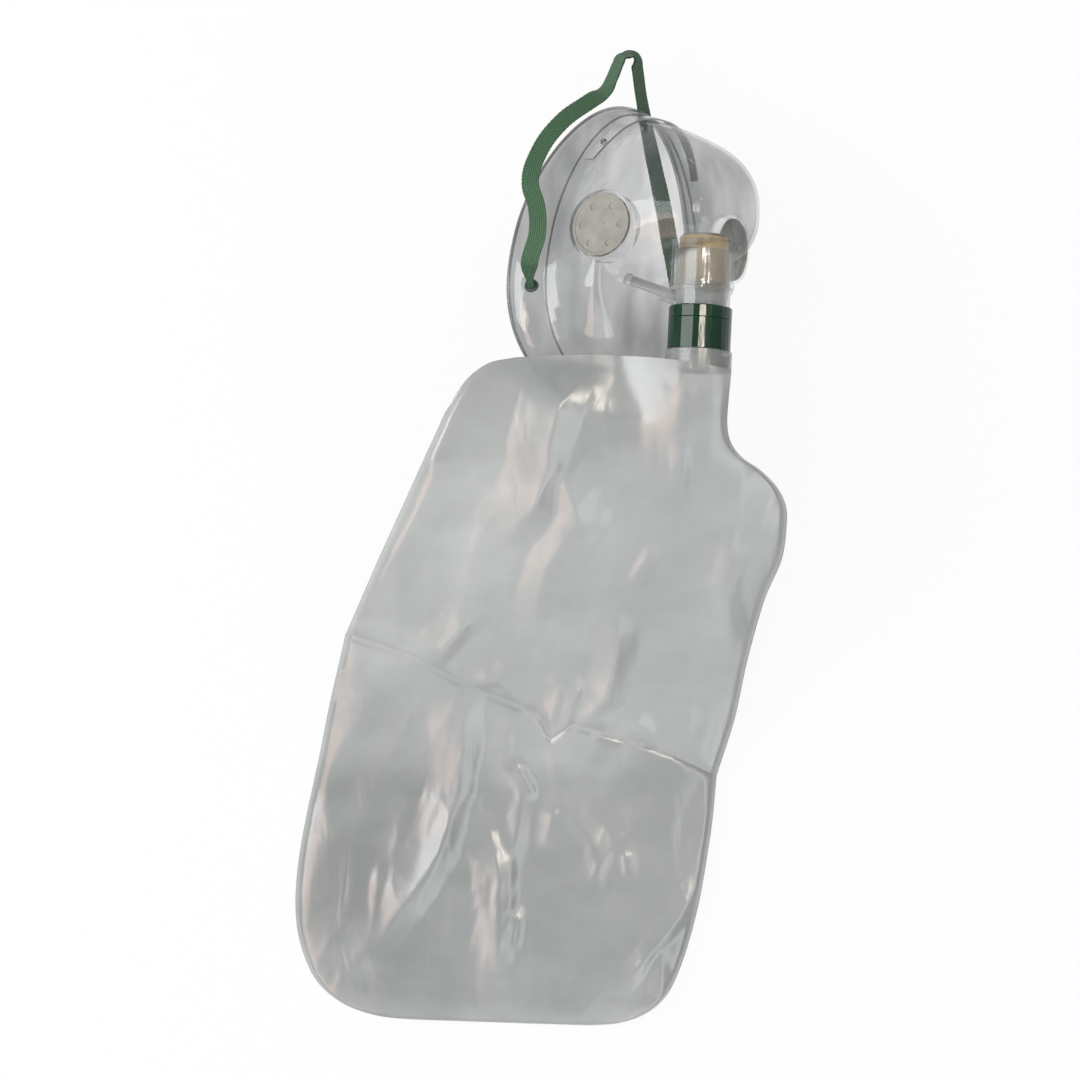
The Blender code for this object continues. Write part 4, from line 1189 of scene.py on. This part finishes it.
@dataclass
class FilmBag:
    """The reservoir bag: two welded films, once folded in half and never quite flat again."""

    rows: int = 250
    columns: int = 148
    seam: float = 0.8 * MM
    weld: float = 2.6 * MM
    # The weld across the closed end is wider, as if all rows ran over this length in mm
    end_length: float = 180.0
    # The air in the bag fills it nearly evenly up to its long sides
    puff: float = 10.0 * MM
    puff_power: float = 0.13
    # Folds and crumples fade where the film is filled by less than one part in this number
    fold_fade: float = 2.0
    # The upper end lies on the chin and comes down to the table along a slope
    shelf: float = 81.0 * MM
    shelf_end: float = 60.0 * MM
    slope: float = 180.0 * MM
    # The upper film spans the adapter's foot like a tent, and the lower one hangs round it
    neck_blend: float = 60.0 * MM
    tent_flat: float = 0.3
    tent_reach: float = 2.4
    tent_soft: float = 4.0 * MM
    seam_lift: float = 0.8
    top_fill: float = 0.08
    bottom_fill: int = 8
    top_bow: float = 3.5 * MM
    bow_rows: float = 0.12
    # The sleeve of film round the adapter's foot, with its heights along the mask's neck
    neck_radius: float = 13.6 * MM
    neck_slack: float = 0.3 * MM
    neck_film: float = 0.7 * MM
    neck_top: float = -44.2 * MM
    neck_bottom: float = -52.5 * MM
    neck_taper: float = 10.0 * MM
    neck_narrow: float = 0.8
    neck_open: float = 9.0 * MM
    neck_facets: int = 64
    foot_behind: float = 9.0 * MM
    sharp_angle: float = math.radians(60)
    # The old fold across the middle, with its sizes in mm
    crease_share: float = 0.42
    crease_rows: float = 30.0
    crease_depth: float = 2.6
    crease_reach: float = 1.4
    crease_flank: float = 11.0
    crease_sharp: float = 0.4
    # Crumples along the bag: width, length and layer of the noise, and their heights in mm
    crinkle: float = 0.27
    run: tuple = (0.29, 0.957)
    wide_crumples: tuple = (19.0, 52.0, 3.7)
    small_crumples: tuple = (8.0, 21.0, 9.1)
    crumple_patches: tuple = (45.0, 60.0, 1.3)
    wide_height: float = 2.2
    small_height: float = 0.8
    # They stand highest in the lower middle, round a place in mm
    crumple_more: float = 1.3
    crumple_at: tuple = (-18.0, -140.0)
    crumple_size: tuple = (42.0, 55.0)
    # Both long sides in mm, from the neck end to the crease and on to the closed end
    left: tuple = (
        ((-10.9, 79.2), (-22.6, 76.6), (-32.6, 68.8), (-40.5, 56.6), (-45.3, 46.6),
         (-58.3, 19.3), (-87.4, -41.2)),
        ((-87.4, -41.2), (-95.2, -72.6), (-101.3, -100.4), (-107.4, -128.0), (-111.1, -150.9),
         (-112.0, -169.2), (-109.7, -185.2), (-102.9, -201.2), (-91.4, -211.7), (-77.0, -217.2),
         (-58.0, -219.7)),
    )
    right: tuple = (
        ((82.5, 73.5), (81.4, 60.9), (81.0, 50.1), (82.8, 42.3), (88.1, 35.8), (96.1, 30.6),
         (103.7, 23.2), (107.9, 15.4), (108.7, 6.6), (107.1, -8.8), (100.3, -26.7),
         (93.7, -54.1), (88.7, -81.8), (80.9, -108.3)),
        ((80.9, -108.3), (79.1, -128.0), (76.4, -146.3), (73.2, -164.6), (68.6, -182.9),
         (64.0, -196.6), (58.5, -208.0), (50.3, -215.9), (39.0, -220.6),
         (22.0, -222.4)),
    )
    crease: tuple = (
        (-87.1, -42.4), (-57.4, -52.9), (-32.0, -66.7), (-1.3, -79.2), (4.6, -90.8),
        (14.1, -84.3), (40.9, -91.7), (60.1, -98.2), (80.2, -107.5),
    )
    folds: tuple = (
        Fold(((22.6, 74.6), (8.7, 58.5), (4.4, 41.3), (3.5, 30.5), (-2.2, 15.3), (-14.0, 0.9)),
             19.0, 11.0, 4.1),
        Fold(((61.6, 43.4), (62.4, 19.7)), 6.0, 3.5, 1.1),
        Fold(((35.6, -32.0), (34.5, -49.3), (29.9, -72.3), (16.8, -83.4)), 11.0, 10.0, 2.4),
        Fold(((-35.2, -67.6), (-34.5, -90.8), (-36.4, -113.9), (-45.6, -141.3),
              (-57.0, -159.5), (-75.2, -186.8)), 16.0, 10.0, 3.4),
        Fold(((-21.9, -132.1), (-18.2, -154.9), (-19.1, -177.7), (-20.0, -196.9)),
             13.0, 8.5, 2.6),
        Fold(((-11.4, -101.0), (-1.8, -118.5)), 7.0, 4.0, 1.3),
        Fold(((7.3, -120.8), (2.3, -141.3)), 8.0, 7.0, 1.1),
        Fold(((-9.1, -169.5), (-10.5, -186.8)), 4.5, 3.0, 0.9),
        Fold(((74.8, -153.1), (63.8, -170.9), (51.1, -186.8), (38.8, -202.8)), 7.0, 5.0, 2.0),
        Fold(((55.6, -184.6), (55.6, -209.6), (45.6, -219.7)), 7.0, 4.0, 1.5),
        Fold(((-44.6, 47.7), (-47.0, 26.2), (-59.2, 2.2), (-74.5, -24.4)), 9.0, 13.0, 2.1),
        Fold(((21.7, 40.4), (11.4, 23.6), (16.7, 8.8), (2.2, -13.2), (-2.2, -31.1),
              (0.0, -49.3)), 10.0, 14.0, 2.8),
        Fold(((50.6, -2.2), (39.0, -21.2)), 4.0, 7.0, 1.2),
        Fold(((85.5, 4.4), (80.6, -19.9), (86.5, -49.3)), 6.0, 9.0, 1.5),
        Fold(((-48.5, -54.7), (-29.4, -33.8)), 6.0, 13.0, 2.1),
        Fold(((-17.9, -53.8), (-9.0, -72.3)), 5.0, 8.0, 1.0),
        Fold(((9.1, -118.5), (22.8, -136.7), (27.4, -154.9)), 6.0, 9.0, 0.8),
        Fold(((38.8, -141.3), (40.1, -154.9)), 3.0, 6.0, 0.8),
        Fold(((-72.9, -145.8), (-76.6, -182.3)), 4.5, 8.0, 1.0),
        Fold(((-27.3, -100.1), (-31.9, -132.1)), 3.5, 6.5, 0.8),
        Fold(((3.0, -62.0), (16.7, -67.6), (9.0, -96.0)), 8.0, 5.0, 1.6),
        # The puckers on both sides of the crease's middle
        Fold(((-29.5, -64.8), (-18.0, -62.9), (-4.2, -74.8)), 4.0, 7.0, 1.1),
        Fold(((16.1, -83.6), (27.2, -81.0), (43.4, -82.6), (59.1, -95.4)), 5.0, 7.0, 1.3),
        Fold(((10.4, -63.2), (4.6, -85.8)), 6.0, 3.0, 1.8),
    )

    def even_points(self, points: tuple, count: int) -> list[Vector]:
        """Gives evenly spaced points on a smooth curve.

        Args:
            points: Places in mm that the curve goes through.
            count: How many points.

        Returns:
            The points in mm.
        """
        marks = [Vector(point) for point in points]
        ends = [2 * marks[0] - marks[1], *marks, 2 * marks[-1] - marks[-2]]
        fine = []
        for before, start, end, after in zip(ends, ends[1:], ends[2:], ends[3:]):
            for step in range(12):
                fine.append(curve_between(before, start, end, after, step / 12))
        fine.append(marks[-1])
        lengths = [0.0]
        for start, end in zip(fine, fine[1:]):
            lengths.append(lengths[-1] + (end - start).length)
        even, at = [], 0
        for step in range(count):
            target = lengths[-1] * step / (count - 1)
            while at < len(fine) - 2 and lengths[at + 1] < target:
                at += 1
            share = (target - lengths[at]) / (lengths[at + 1] - lengths[at])
            even.append(fine[at].lerp(fine[at + 1], share))
        return even

    def side(self, parts: tuple) -> list[Vector]:
        """Gives one long side, with the crease at the same row on both sides.

        Args:
            parts: Places from the neck end to the crease, and from there to the closed end.

        Returns:
            One point for each row, in mm.
        """
        row = round(self.rows * self.crease_share)
        rest = self.even_points(parts[1], self.rows - row + 1)
        return self.even_points(parts[0], row + 1) + rest[1:]

    def crease_shift(self, place: Vector) -> float:
        """Gives how far the old fold lies from a place, along the bag.

        Args:
            place: A place on the bag, in mm.

        Returns:
            The distance in mm, above zero where the fold lies nearer to the neck.
        """
        for (x0, y0), (x1, y1) in zip(self.crease, self.crease[1:]):
            if place.x <= x1 or x1 == self.crease[-1][0]:
                return y0 + (y1 - y0) * (place.x - x0) / (x1 - x0) - place.y
        return 0.0

    def crease_drop(self, point: Vector) -> float:
        """Gives how far the film sinks into the old fold.

        Args:
            point: A place on the bag, in mm.

        Returns:
            The depth in mm.
        """
        nearest = 1e9
        for start, end in zip(self.crease, self.crease[1:]):
            a, b = Vector(start), Vector(end)
            span = b - a
            held = min(1.0, max(0.0, (point - a).dot(span) / span.length_squared))
            nearest = min(nearest, (point - a - span * held).length)
        sharp = math.exp(-nearest / self.crease_reach)
        wide = math.exp(-nearest / self.crease_flank)
        share = self.crease_sharp
        return self.crease_depth * (share * sharp + (1 - share) * wide)

    def crinkles(self, point: Vector) -> float:
        """Gives the height of the small crumples along the bag.

        Args:
            point: A place on the bag, in mm.

        Returns:
            The height in mm, below zero in the dips between them.
        """
        run_x, run_y = self.run
        along = Vector((run_x, run_y)).dot(point)
        across = Vector((run_y, -run_x)).dot(point)
        wide, small, patches = (
            noise.noise(Vector((across / width, along / length, layer)))
            for width, length, layer in (
                self.wide_crumples, self.small_crumples, self.crumple_patches
            )
        )
        rise = self.wide_height * (1 - 2 * abs(wide))
        rise += self.small_height * (1 - 2 * abs(small)) * max(0.0, 0.5 + patches)
        away = math.hypot(
            (point.x - self.crumple_at[0]) / self.crumple_size[0],
            (point.y - self.crumple_at[1]) / self.crumple_size[1],
        )
        return self.crinkle * rise * (1 + self.crumple_more * math.exp(-away * away))

    def heights(
        self, point: Vector, along: float, share: float, edge: float, neck: Vector
    ) -> tuple[float, float]:
        """Gives the heights of both films at one place.

        Args:
            point: The place in mm.
            along: From 0 at the neck end to 1 at the closed end.
            share: From 0 at the left side to 1 at the right side.
            edge: Distance to the nearer long side, in metres.
            neck: The neck's end, in metres.

        Returns:
            The lower and the upper height, in metres.
        """
        x, y = point.x * MM, point.y * MM
        low = self.shelf * (1 - smooth_step((self.shelf_end - y) / self.slope))
        inside = (4 * share * (1 - share)) ** self.puff_power
        ends = (1 - along**self.bottom_fill) * smooth_step(along / self.top_fill)
        full = inside * max(0.0, ends) ** 0.5
        soft = min(1.0, full * self.fold_fade)
        # A welded border lies flat before the film fills out
        border = smooth_step(edge / self.weld)
        high = low + self.seam + self.puff * full * border
        lift = max(fold.rise(point) for fold in self.folds) + self.crinkles(point)
        high += (lift - self.crease_drop(point)) * MM * soft * border
        across = abs(x - neck.x) / self.neck_radius
        near = 1 - smooth_step((neck.y - y) / self.neck_blend)
        tent = 1 - smooth_step((across - self.tent_flat) / self.tent_reach)
        gap = neck.z + self.neck_radius * tent - high
        high += (gap + math.hypot(gap, self.tent_soft)) / 2 * near
        round_off = max(0.0, 1 - across**2) ** 0.5
        lift_share = self.seam_lift * (1 - smooth_step((across - 1) / self.tent_reach))
        lift_share = round_off + (1 - round_off) * lift_share
        low += (neck.z - self.neck_radius * round_off - low) * near * lift_share
        return low, max(high, low + self.seam / 2)

    def films(self, neck: Vector) -> bmesh.types.BMesh:
        """Shapes both films and welds them along their rims.

        Args:
            neck: The neck's end in the drawing, in metres.

        Returns:
            The closed bag without its neck.
        """
        left, right = self.side(self.left), self.side(self.right)
        crease_row = round(self.rows * self.crease_share)
        bm = bmesh.new()
        bmesh.ops.create_grid(bm, x_segments=self.columns, y_segments=self.rows, size=0.5)
        upper = list(bm.verts)
        copied = bmesh.ops.duplicate(bm, geom=bm.verts[:] + bm.edges[:] + bm.faces[:])
        for vert in upper:
            lower = copied["vert_map"][vert]
            share = vert.co.x + 0.5
            row = round((0.5 - vert.co.y) * self.rows)
            along = row / self.rows
            start, end = left[row], right[row]
            point = start.lerp(end, share)
            # The rows near the old fold follow it, so that it stays crisp
            on_fold = left[crease_row].lerp(right[crease_row], share)
            near_fold = 1 - smooth_step(abs(row - crease_row) / self.crease_rows)
            point.y += self.crease_shift(on_fold) * near_fold
            bow = math.sin(math.pi * share) * max(0.0, 1 - along / self.bow_rows)
            point.y += self.top_bow / MM * bow
            edge = min(share, 1 - share) * (end - start).length * MM
            edge = min(edge, (1 - along) * self.end_length * MM)
            low, high = self.heights(point, along, share, edge, neck)
            vert.co = (point.x * MM, point.y * MM, high)
            lower.co = (point.x * MM, point.y * MM, low)
        rims = [edge for edge in bm.edges if edge.is_boundary]
        bmesh.ops.bridge_loops(bm, edges=rims)
        bmesh.ops.recalc_face_normals(bm, faces=bm.faces)
        return bm

    def build(self, mask: MaskBody) -> bpy.types.Object:
        """Builds the bag over the chin of the mask and round the adapter's foot.

        Args:
            mask: The mask whose neck holds the adapter.

        Returns:
            The finished bag.
        """
        frame_in = Matrix.Translation(-DRAWING_SHIFT) @ mask.neck()
        end = frame_in @ Vector((0, 0, self.neck_bottom))
        bag = link_mesh("film_bag", self.films(end))
        pocket = self.neck_radius + self.neck_slack
        outer = pocket + self.neck_film
        low = self.neck_bottom - self.neck_taper
        profile = [
            (0.0, self.neck_top), (outer, self.neck_top),
            (outer, self.neck_bottom - self.neck_film), (outer * self.neck_narrow, low),
            (0.0, low),
        ]
        form = link_mesh("neck_form", spun(profile, self.neck_facets, frame_in))
        boolean(bag, form, "UNION")
        bm = bmesh.new()
        span = (self.neck_bottom, self.neck_top + self.neck_open)
        pin(bm, frame_in, span, pocket, self.neck_facets)
        boolean(bag, link_mesh("neck_pocket", bm), "DIFFERENCE")
        bag.data.transform(Matrix.Translation(DRAWING_SHIFT))
        shade(bag.data, self.sharp_angle)
        foot = end + DRAWING_SHIFT + Vector((0, self.foot_behind, 0))
        film = BagFilm("hazy_blown_film", neck=foot)
        dress(bag, film, "bag_film", "reservoir_bag")
        return bag


@dataclass
class HeadBand:
    """The flat elastic band, narrowed into both eyelets and knotted behind them."""

    width: float = 8.0 * MM
    thickness: float = 1.0 * MM
    end_share: float = 0.38
    # Solidified to this share of its thickness, with its edges rounded by this share
    thin_share: float = 0.8
    round_share: float = 0.2
    # The knitted edge is scalloped, a stitch every 2 mm or so
    scallop: float = 0.035
    scallop_pace: float = 2.1
    edge_room: float = 0.2 * MM
    # A knot sits behind its eyelet and ends in a short tail
    knot_radius: float = 3.2 * MM
    knot_seat: float = 2.04 * MM
    knot_gap: float = 0.3 * MM
    # It is lumpy: turns wind along it, and stand out by a share of its radius
    knot_wind: float = 2.2
    knot_turns: int = 3
    knot_lump: float = 0.1
    # The tail's radius as a share of the knot's, and the stations that give its direction
    tail_share: float = 0.4
    tail_steps: int = 6
    lead: float = 3.5 * MM
    steps_between: int = 26
    columns: int = 10
    # Places in mm and the band's turn about its own length
    route: tuple = (
        (-4.6, 121.0, 79.0, 0.0),
        (-1.2, 133.6, 82.5, 0.0),
        (-1.4, 144.7, 82.0, 4.0),
        (-4.2, 155.8, 79.0, 8.0),
        (-1.2, 168.0, 74.0, 12.0),
        (8.8, 183.0, 67.0, 15.0),
        (22.5, 194.0, 59.0, 20.0),
        (29.0, 198.8, 54.0, 42.0),
        (32.0, 204.4, 51.0, 50.0),
        (35.1, 212.0, 48.0, 52.0),
        (36.2, 214.3, 46.8, 55.0),
        (38.4, 215.6, 45.4, 60.0),
        (41.0, 216.0, 43.6, 60.0),
        (42.5, 214.8, 42.4, 55.0),
        (43.2, 211.0, 40.4, 50.0),
        (44.9, 200.0, 35.0, 50.0),
        (47.8, 186.0, 26.0, 42.0),
        (51.4, 170.9, 18.0, 30.0),
        (56.5, 148.9, 11.0, 15.0),
        (60.0, 131.0, 8.0, 5.0),
    )

    def stations(self, mask: MaskBody) -> list[tuple[Vector, float, float]]:
        """Gives the band's middle line.

        Args:
            mask: The mask whose eyelets hold the band.

        Returns:
            Place, share of the full width and turn of each station.
        """
        world = mask.world()
        near = world @ mask.stand(mask.eyelet_section, mask.eyelet_turn)
        far = world @ mask.stand(mask.eyelet_section, math.pi - mask.eyelet_turn)
        under = -mask.wall - mask.eyelet_stand / 2 - self.knot_gap - self.knot_seat
        over = mask.eyelet_stand + self.knot_gap + self.knot_seat
        narrow = self.end_share
        marks = [(near @ Vector((0, 0, under)), narrow, 0.0)]
        marks += [(near @ Vector((0, 0, self.lead)), narrow, 0.0)]
        marks += [
            (Vector((x, y, z)) * MM + DRAWING_SHIFT, 1.0, turn) for x, y, z, turn in self.route
        ]
        marks += [(far @ Vector((0, 0, -self.lead)), narrow, 0.0)]
        marks += [(far @ Vector((0, 0, over)), narrow, 0.0)]
        curve = bpy.data.curves.new("band_path", "CURVE")
        curve.dimensions = "3D"
        curve.resolution_u = self.steps_between
        spline = curve.splines.new("BEZIER")
        spline.bezier_points.add(len(marks) - 1)
        for knot, (place, _share, _turn) in zip(spline.bezier_points, marks):
            knot.co = place
            knot.handle_left_type = knot.handle_right_type = "AUTO"
        found = []
        for index, vert in enumerate(curve_mesh(curve).vertices):
            at = min(index / self.steps_between, len(marks) - 1.0001)
            mark = int(at)
            ease = smooth_step(at - mark)
            before, after = marks[mark], marks[mark + 1]
            found.append((
                vert.co.copy(),
                before[1] + (after[1] - before[1]) * ease,
                before[2] + (after[2] - before[2]) * ease,
            ))
        return found

    def add_knot(self, bm: bmesh.types.BMesh, middle: Vector, out: Vector) -> None:
        """Ties a lumpy knot with a short tail.

        Args:
            bm: The band's shape.
            middle: The knot's middle.
            out: Where its tail points.
        """
        ball = bmesh.ops.create_icosphere(
            bm, subdivisions=4, radius=self.knot_radius, matrix=Matrix.Translation(middle)
        )
        turn = out.to_track_quat("Z", "Y").to_matrix().inverted()
        for vert in ball["verts"]:
            place = turn @ (vert.co - middle)
            wrap = math.atan2(place.y, place.x) + place.z / self.knot_radius * self.knot_wind
            lump = 1 - self.knot_lump + self.knot_lump * math.sin(wrap * self.knot_turns)
            vert.co = middle + (vert.co - middle) * lump
        tip = middle + out * self.knot_radius * 2
        rod(bm, middle, tip, self.knot_radius * self.tail_share, 16)

    def build(self, mask: MaskBody) -> bpy.types.Object:
        """Builds the band: a ribbed strip along its route, with a lumpy knot at each end.

        Args:
            mask: The mask whose eyelets hold the band.

        Returns:
            The finished band.
        """
        line = self.stations(mask)
        rows = len(line) - 1
        bm = bmesh.new()
        bm.loops.layers.uv.verify()
        bmesh.ops.create_grid(
            bm, x_segments=rows, y_segments=self.columns, size=0.5, calc_uvs=True
        )
        for vert in bm.verts:
            index = round((vert.co.x + 0.5) * rows)
            across = vert.co.y * 2
            place, share, turn = line[index]
            ahead = line[min(index + 1, rows)][0] - line[max(index - 1, 0)][0]
            ahead.normalize()
            up = (Vector((0, 0, 1)) - ahead * ahead.z).normalized()
            tilt = Matrix.Rotation(math.radians(90.0 - turn), 3, ahead)
            side = tilt @ up
            wavy = 1.0 + self.scallop * math.sin(index * self.scallop_pace) * abs(across) ** 4
            vert.co = place + side * across * wavy * share * (self.width / 2 - self.edge_room)
        bmesh.ops.recalc_face_normals(bm, faces=bm.faces)
        whole = bm.faces[:] + bm.edges[:] + bm.verts[:]
        bmesh.ops.solidify(bm, geom=whole, thickness=self.thickness * self.thin_share)
        for end, near in ((0, self.tail_steps), (-1, -self.tail_steps - 1)):
            middle = line[end][0]
            self.add_knot(bm, middle, (middle - line[near][0]).normalized())
        band = link_mesh("elastic_band", bm)
        rounding = band.modifiers.new("edge", "BEVEL")
        rounding.width = self.thickness * self.round_share
        rounding.segments = 2
        rounding.angle_limit = math.radians(50)
        settle(band)
        dress(band, KnittedElastic("green_knitted_elastic"), "green_elastic", "head_strap")
        return band


@dataclass(frozen=True)
class Lamp:
    """A rectangular lamp that faces the part: power in watts, sizes in metres."""

    name: str
    tint: Tint
    power: float
    size: tuple
    place: tuple
    # Some lamps only show in glossy surfaces
    gloss_only: bool = False
    height_along: tuple = (0.0, 0.0, 1.0)
    aim: tuple = (0.02, 0.0, 0.04)

    def hang(self) -> None:
        """Hangs the lamp."""
        data = bpy.data.lights.new(self.name, "AREA")
        data.shape = "RECTANGLE"
        data.size, data.size_y = self.size
        data.energy = self.power
        data.color = linear(self.tint)[:3]
        lamp = bpy.data.objects.new(self.name, data)
        lamp.location = self.place
        back = (Vector(self.place) - Vector(self.aim)).normalized()
        side = Vector(self.height_along).cross(back).normalized()
        turn = Matrix((side, back.cross(side), back)).transposed()
        lamp.rotation_euler = turn.to_euler()
        lamp.visible_diffuse = not self.gloss_only
        lamp.visible_camera = False
        bpy.context.scene.collection.objects.link(lamp)


@dataclass
class TableAndLight:
    """The pale table, the lamps and the even light round them, and the camera above."""

    camera_height: float = 1.65
    lens: float = 120.0
    sensor: float = 36.0
    table_half: float = 3.0
    table_drop: float = 0.2 * MM
    world_strength: float = 0.45
    # Daylight from the foot end and the left, two pale walls and the panes of a warm window
    lamps: tuple = (
        Lamp("foot_daylight", Tint.DAYLIGHT, 35.0, (2.4, 3.2), (0.1, -2.4, 1.7)),
        Lamp("left_window", Tint.DAYLIGHT, 20.0, (0.9, 1.2), (-1.2, 0.25, 1.15)),
        Lamp("pink_wall", Tint.PINK_WALL, 32.0, (0.9, 3.0), (-1.38, -1.27, 1.95), True,
             (0.1, -0.87, -0.48)),
        Lamp("right_wall", Tint.DAYLIGHT, 24.0, (0.9, 3.0), (1.32, -1.27, 1.95), True,
             (-0.1, -0.87, -0.48)),
        Lamp("window_pane_left", Tint.WARM_WINDOW, 16.0, (0.07, 0.7), (0.45, 0.6, 3.0), True,
             (0.0, 1.0, 0.0)),
        Lamp("window_pane_right", Tint.WARM_WINDOW, 16.0, (0.06, 0.7), (1.15, 0.6, 2.9), True,
             (0.0, 1.0, 0.0)),
    )

    def table(self) -> None:
        """Lays the table top just under the part."""
        bm = bmesh.new()
        bmesh.ops.create_grid(bm, x_segments=1, y_segments=1, size=self.table_half)
        top = link_mesh("table_top", bm, Matrix.Translation((0, 0, -self.table_drop)))
        top.data.materials.append(PaleTable("pale_table").make())

    def sky(self) -> None:
        """Sets the even light all round, white where it is seen."""
        world = bpy.data.worlds.new("even_daylight")
        bpy.context.scene.world = world
        world.use_nodes = True
        tree = world.node_tree
        back = tree.nodes["Background"]
        back.inputs["Color"].default_value = linear(Tint.DAYLIGHT)
        back.inputs["Strength"].default_value = self.world_strength
        white = add_node(tree, "ShaderNodeBackground", {"Strength": 1.0})
        seen = add_node(tree, "ShaderNodeLightPath").outputs["Is Camera Ray"]
        mixed = add_node(
            tree, "ShaderNodeMixShader", None,
            {0: seen, 1: back.outputs[0], 2: white.outputs[0]},
        )
        tree.links.new(mixed.outputs[0], tree.nodes["World Output"].inputs["Surface"])

    def camera(self) -> None:
        """Hangs the camera straight above, as the photograph was taken."""
        data = bpy.data.cameras.new("photo_camera")
        data.lens = self.lens
        data.sensor_width = self.sensor
        data.sensor_fit = "HORIZONTAL"
        camera = bpy.data.objects.new("photo_camera", data)
        camera.location = (DRAWING_SHIFT.x, DRAWING_SHIFT.y, self.camera_height)
        bpy.context.scene.collection.objects.link(camera)
        bpy.context.scene.camera = camera

    def build(self) -> None:
        """Sets the stage."""
        bpy.context.scene.view_settings.view_transform = "Standard"
        self.camera()
        self.table()
        for lamp in self.lamps:
            lamp.hang()
        self.sky()


def main() -> None:
    """Builds every piece in order."""
    logging.basicConfig(level=logging.INFO, format="%(name)s %(message)s")
    TableAndLight().build()
    mask = MaskBody()
    mask.build()
    FilmBag().build(mask)
    HeadBand().build(mask)
    repaint("vent_flap_left", MouldedSilicone("vent_silicone_left"))
    # The far flap is painted lighter than the near one: painted light that lifts the shade it lies
    # in
    lit = MouldedSilicone("vent_silicone_right", Tint.SILICONE_WARM, Tint.SILICONE_LIT)
    repaint("vent_flap_right", lit)
    repaint("nose_clip", RolledAluminium("rolled_aluminium_clip"))
    # Solid plastic looks milkier along the nipple
    adapter = ClearVinyl(
        "clear_adapter_plastic", face=0.24, edge=0.85, roughness=0.05,
        thin=Tint.CLEAR_NECK, thick=Tint.CLEAR_NECK_THICK,
        spot=Vector((43.0, 111.0, 92.0)) * MM, spot_reach=30.0 * MM, spot_clear=-0.42,
    )
    repaint("bag_adapter", adapter)
    tan = MouldedSilicone("valve_seat_tan", Tint.VALVE_TAN, Tint.VALVE_TAN_LIGHT, roughness=0.2)
    repaint("inhalation_valve_seat", tan)
    repaint("inhalation_flap", MouldedSilicone("valve_flap_silicone"))
    repaint("bag_collar", DyedPolypropylene("green_polypropylene"))
    repaint("bag_flange", MouldedSilicone("flange_silicone"))


if __name__ == "__main__":
    main()
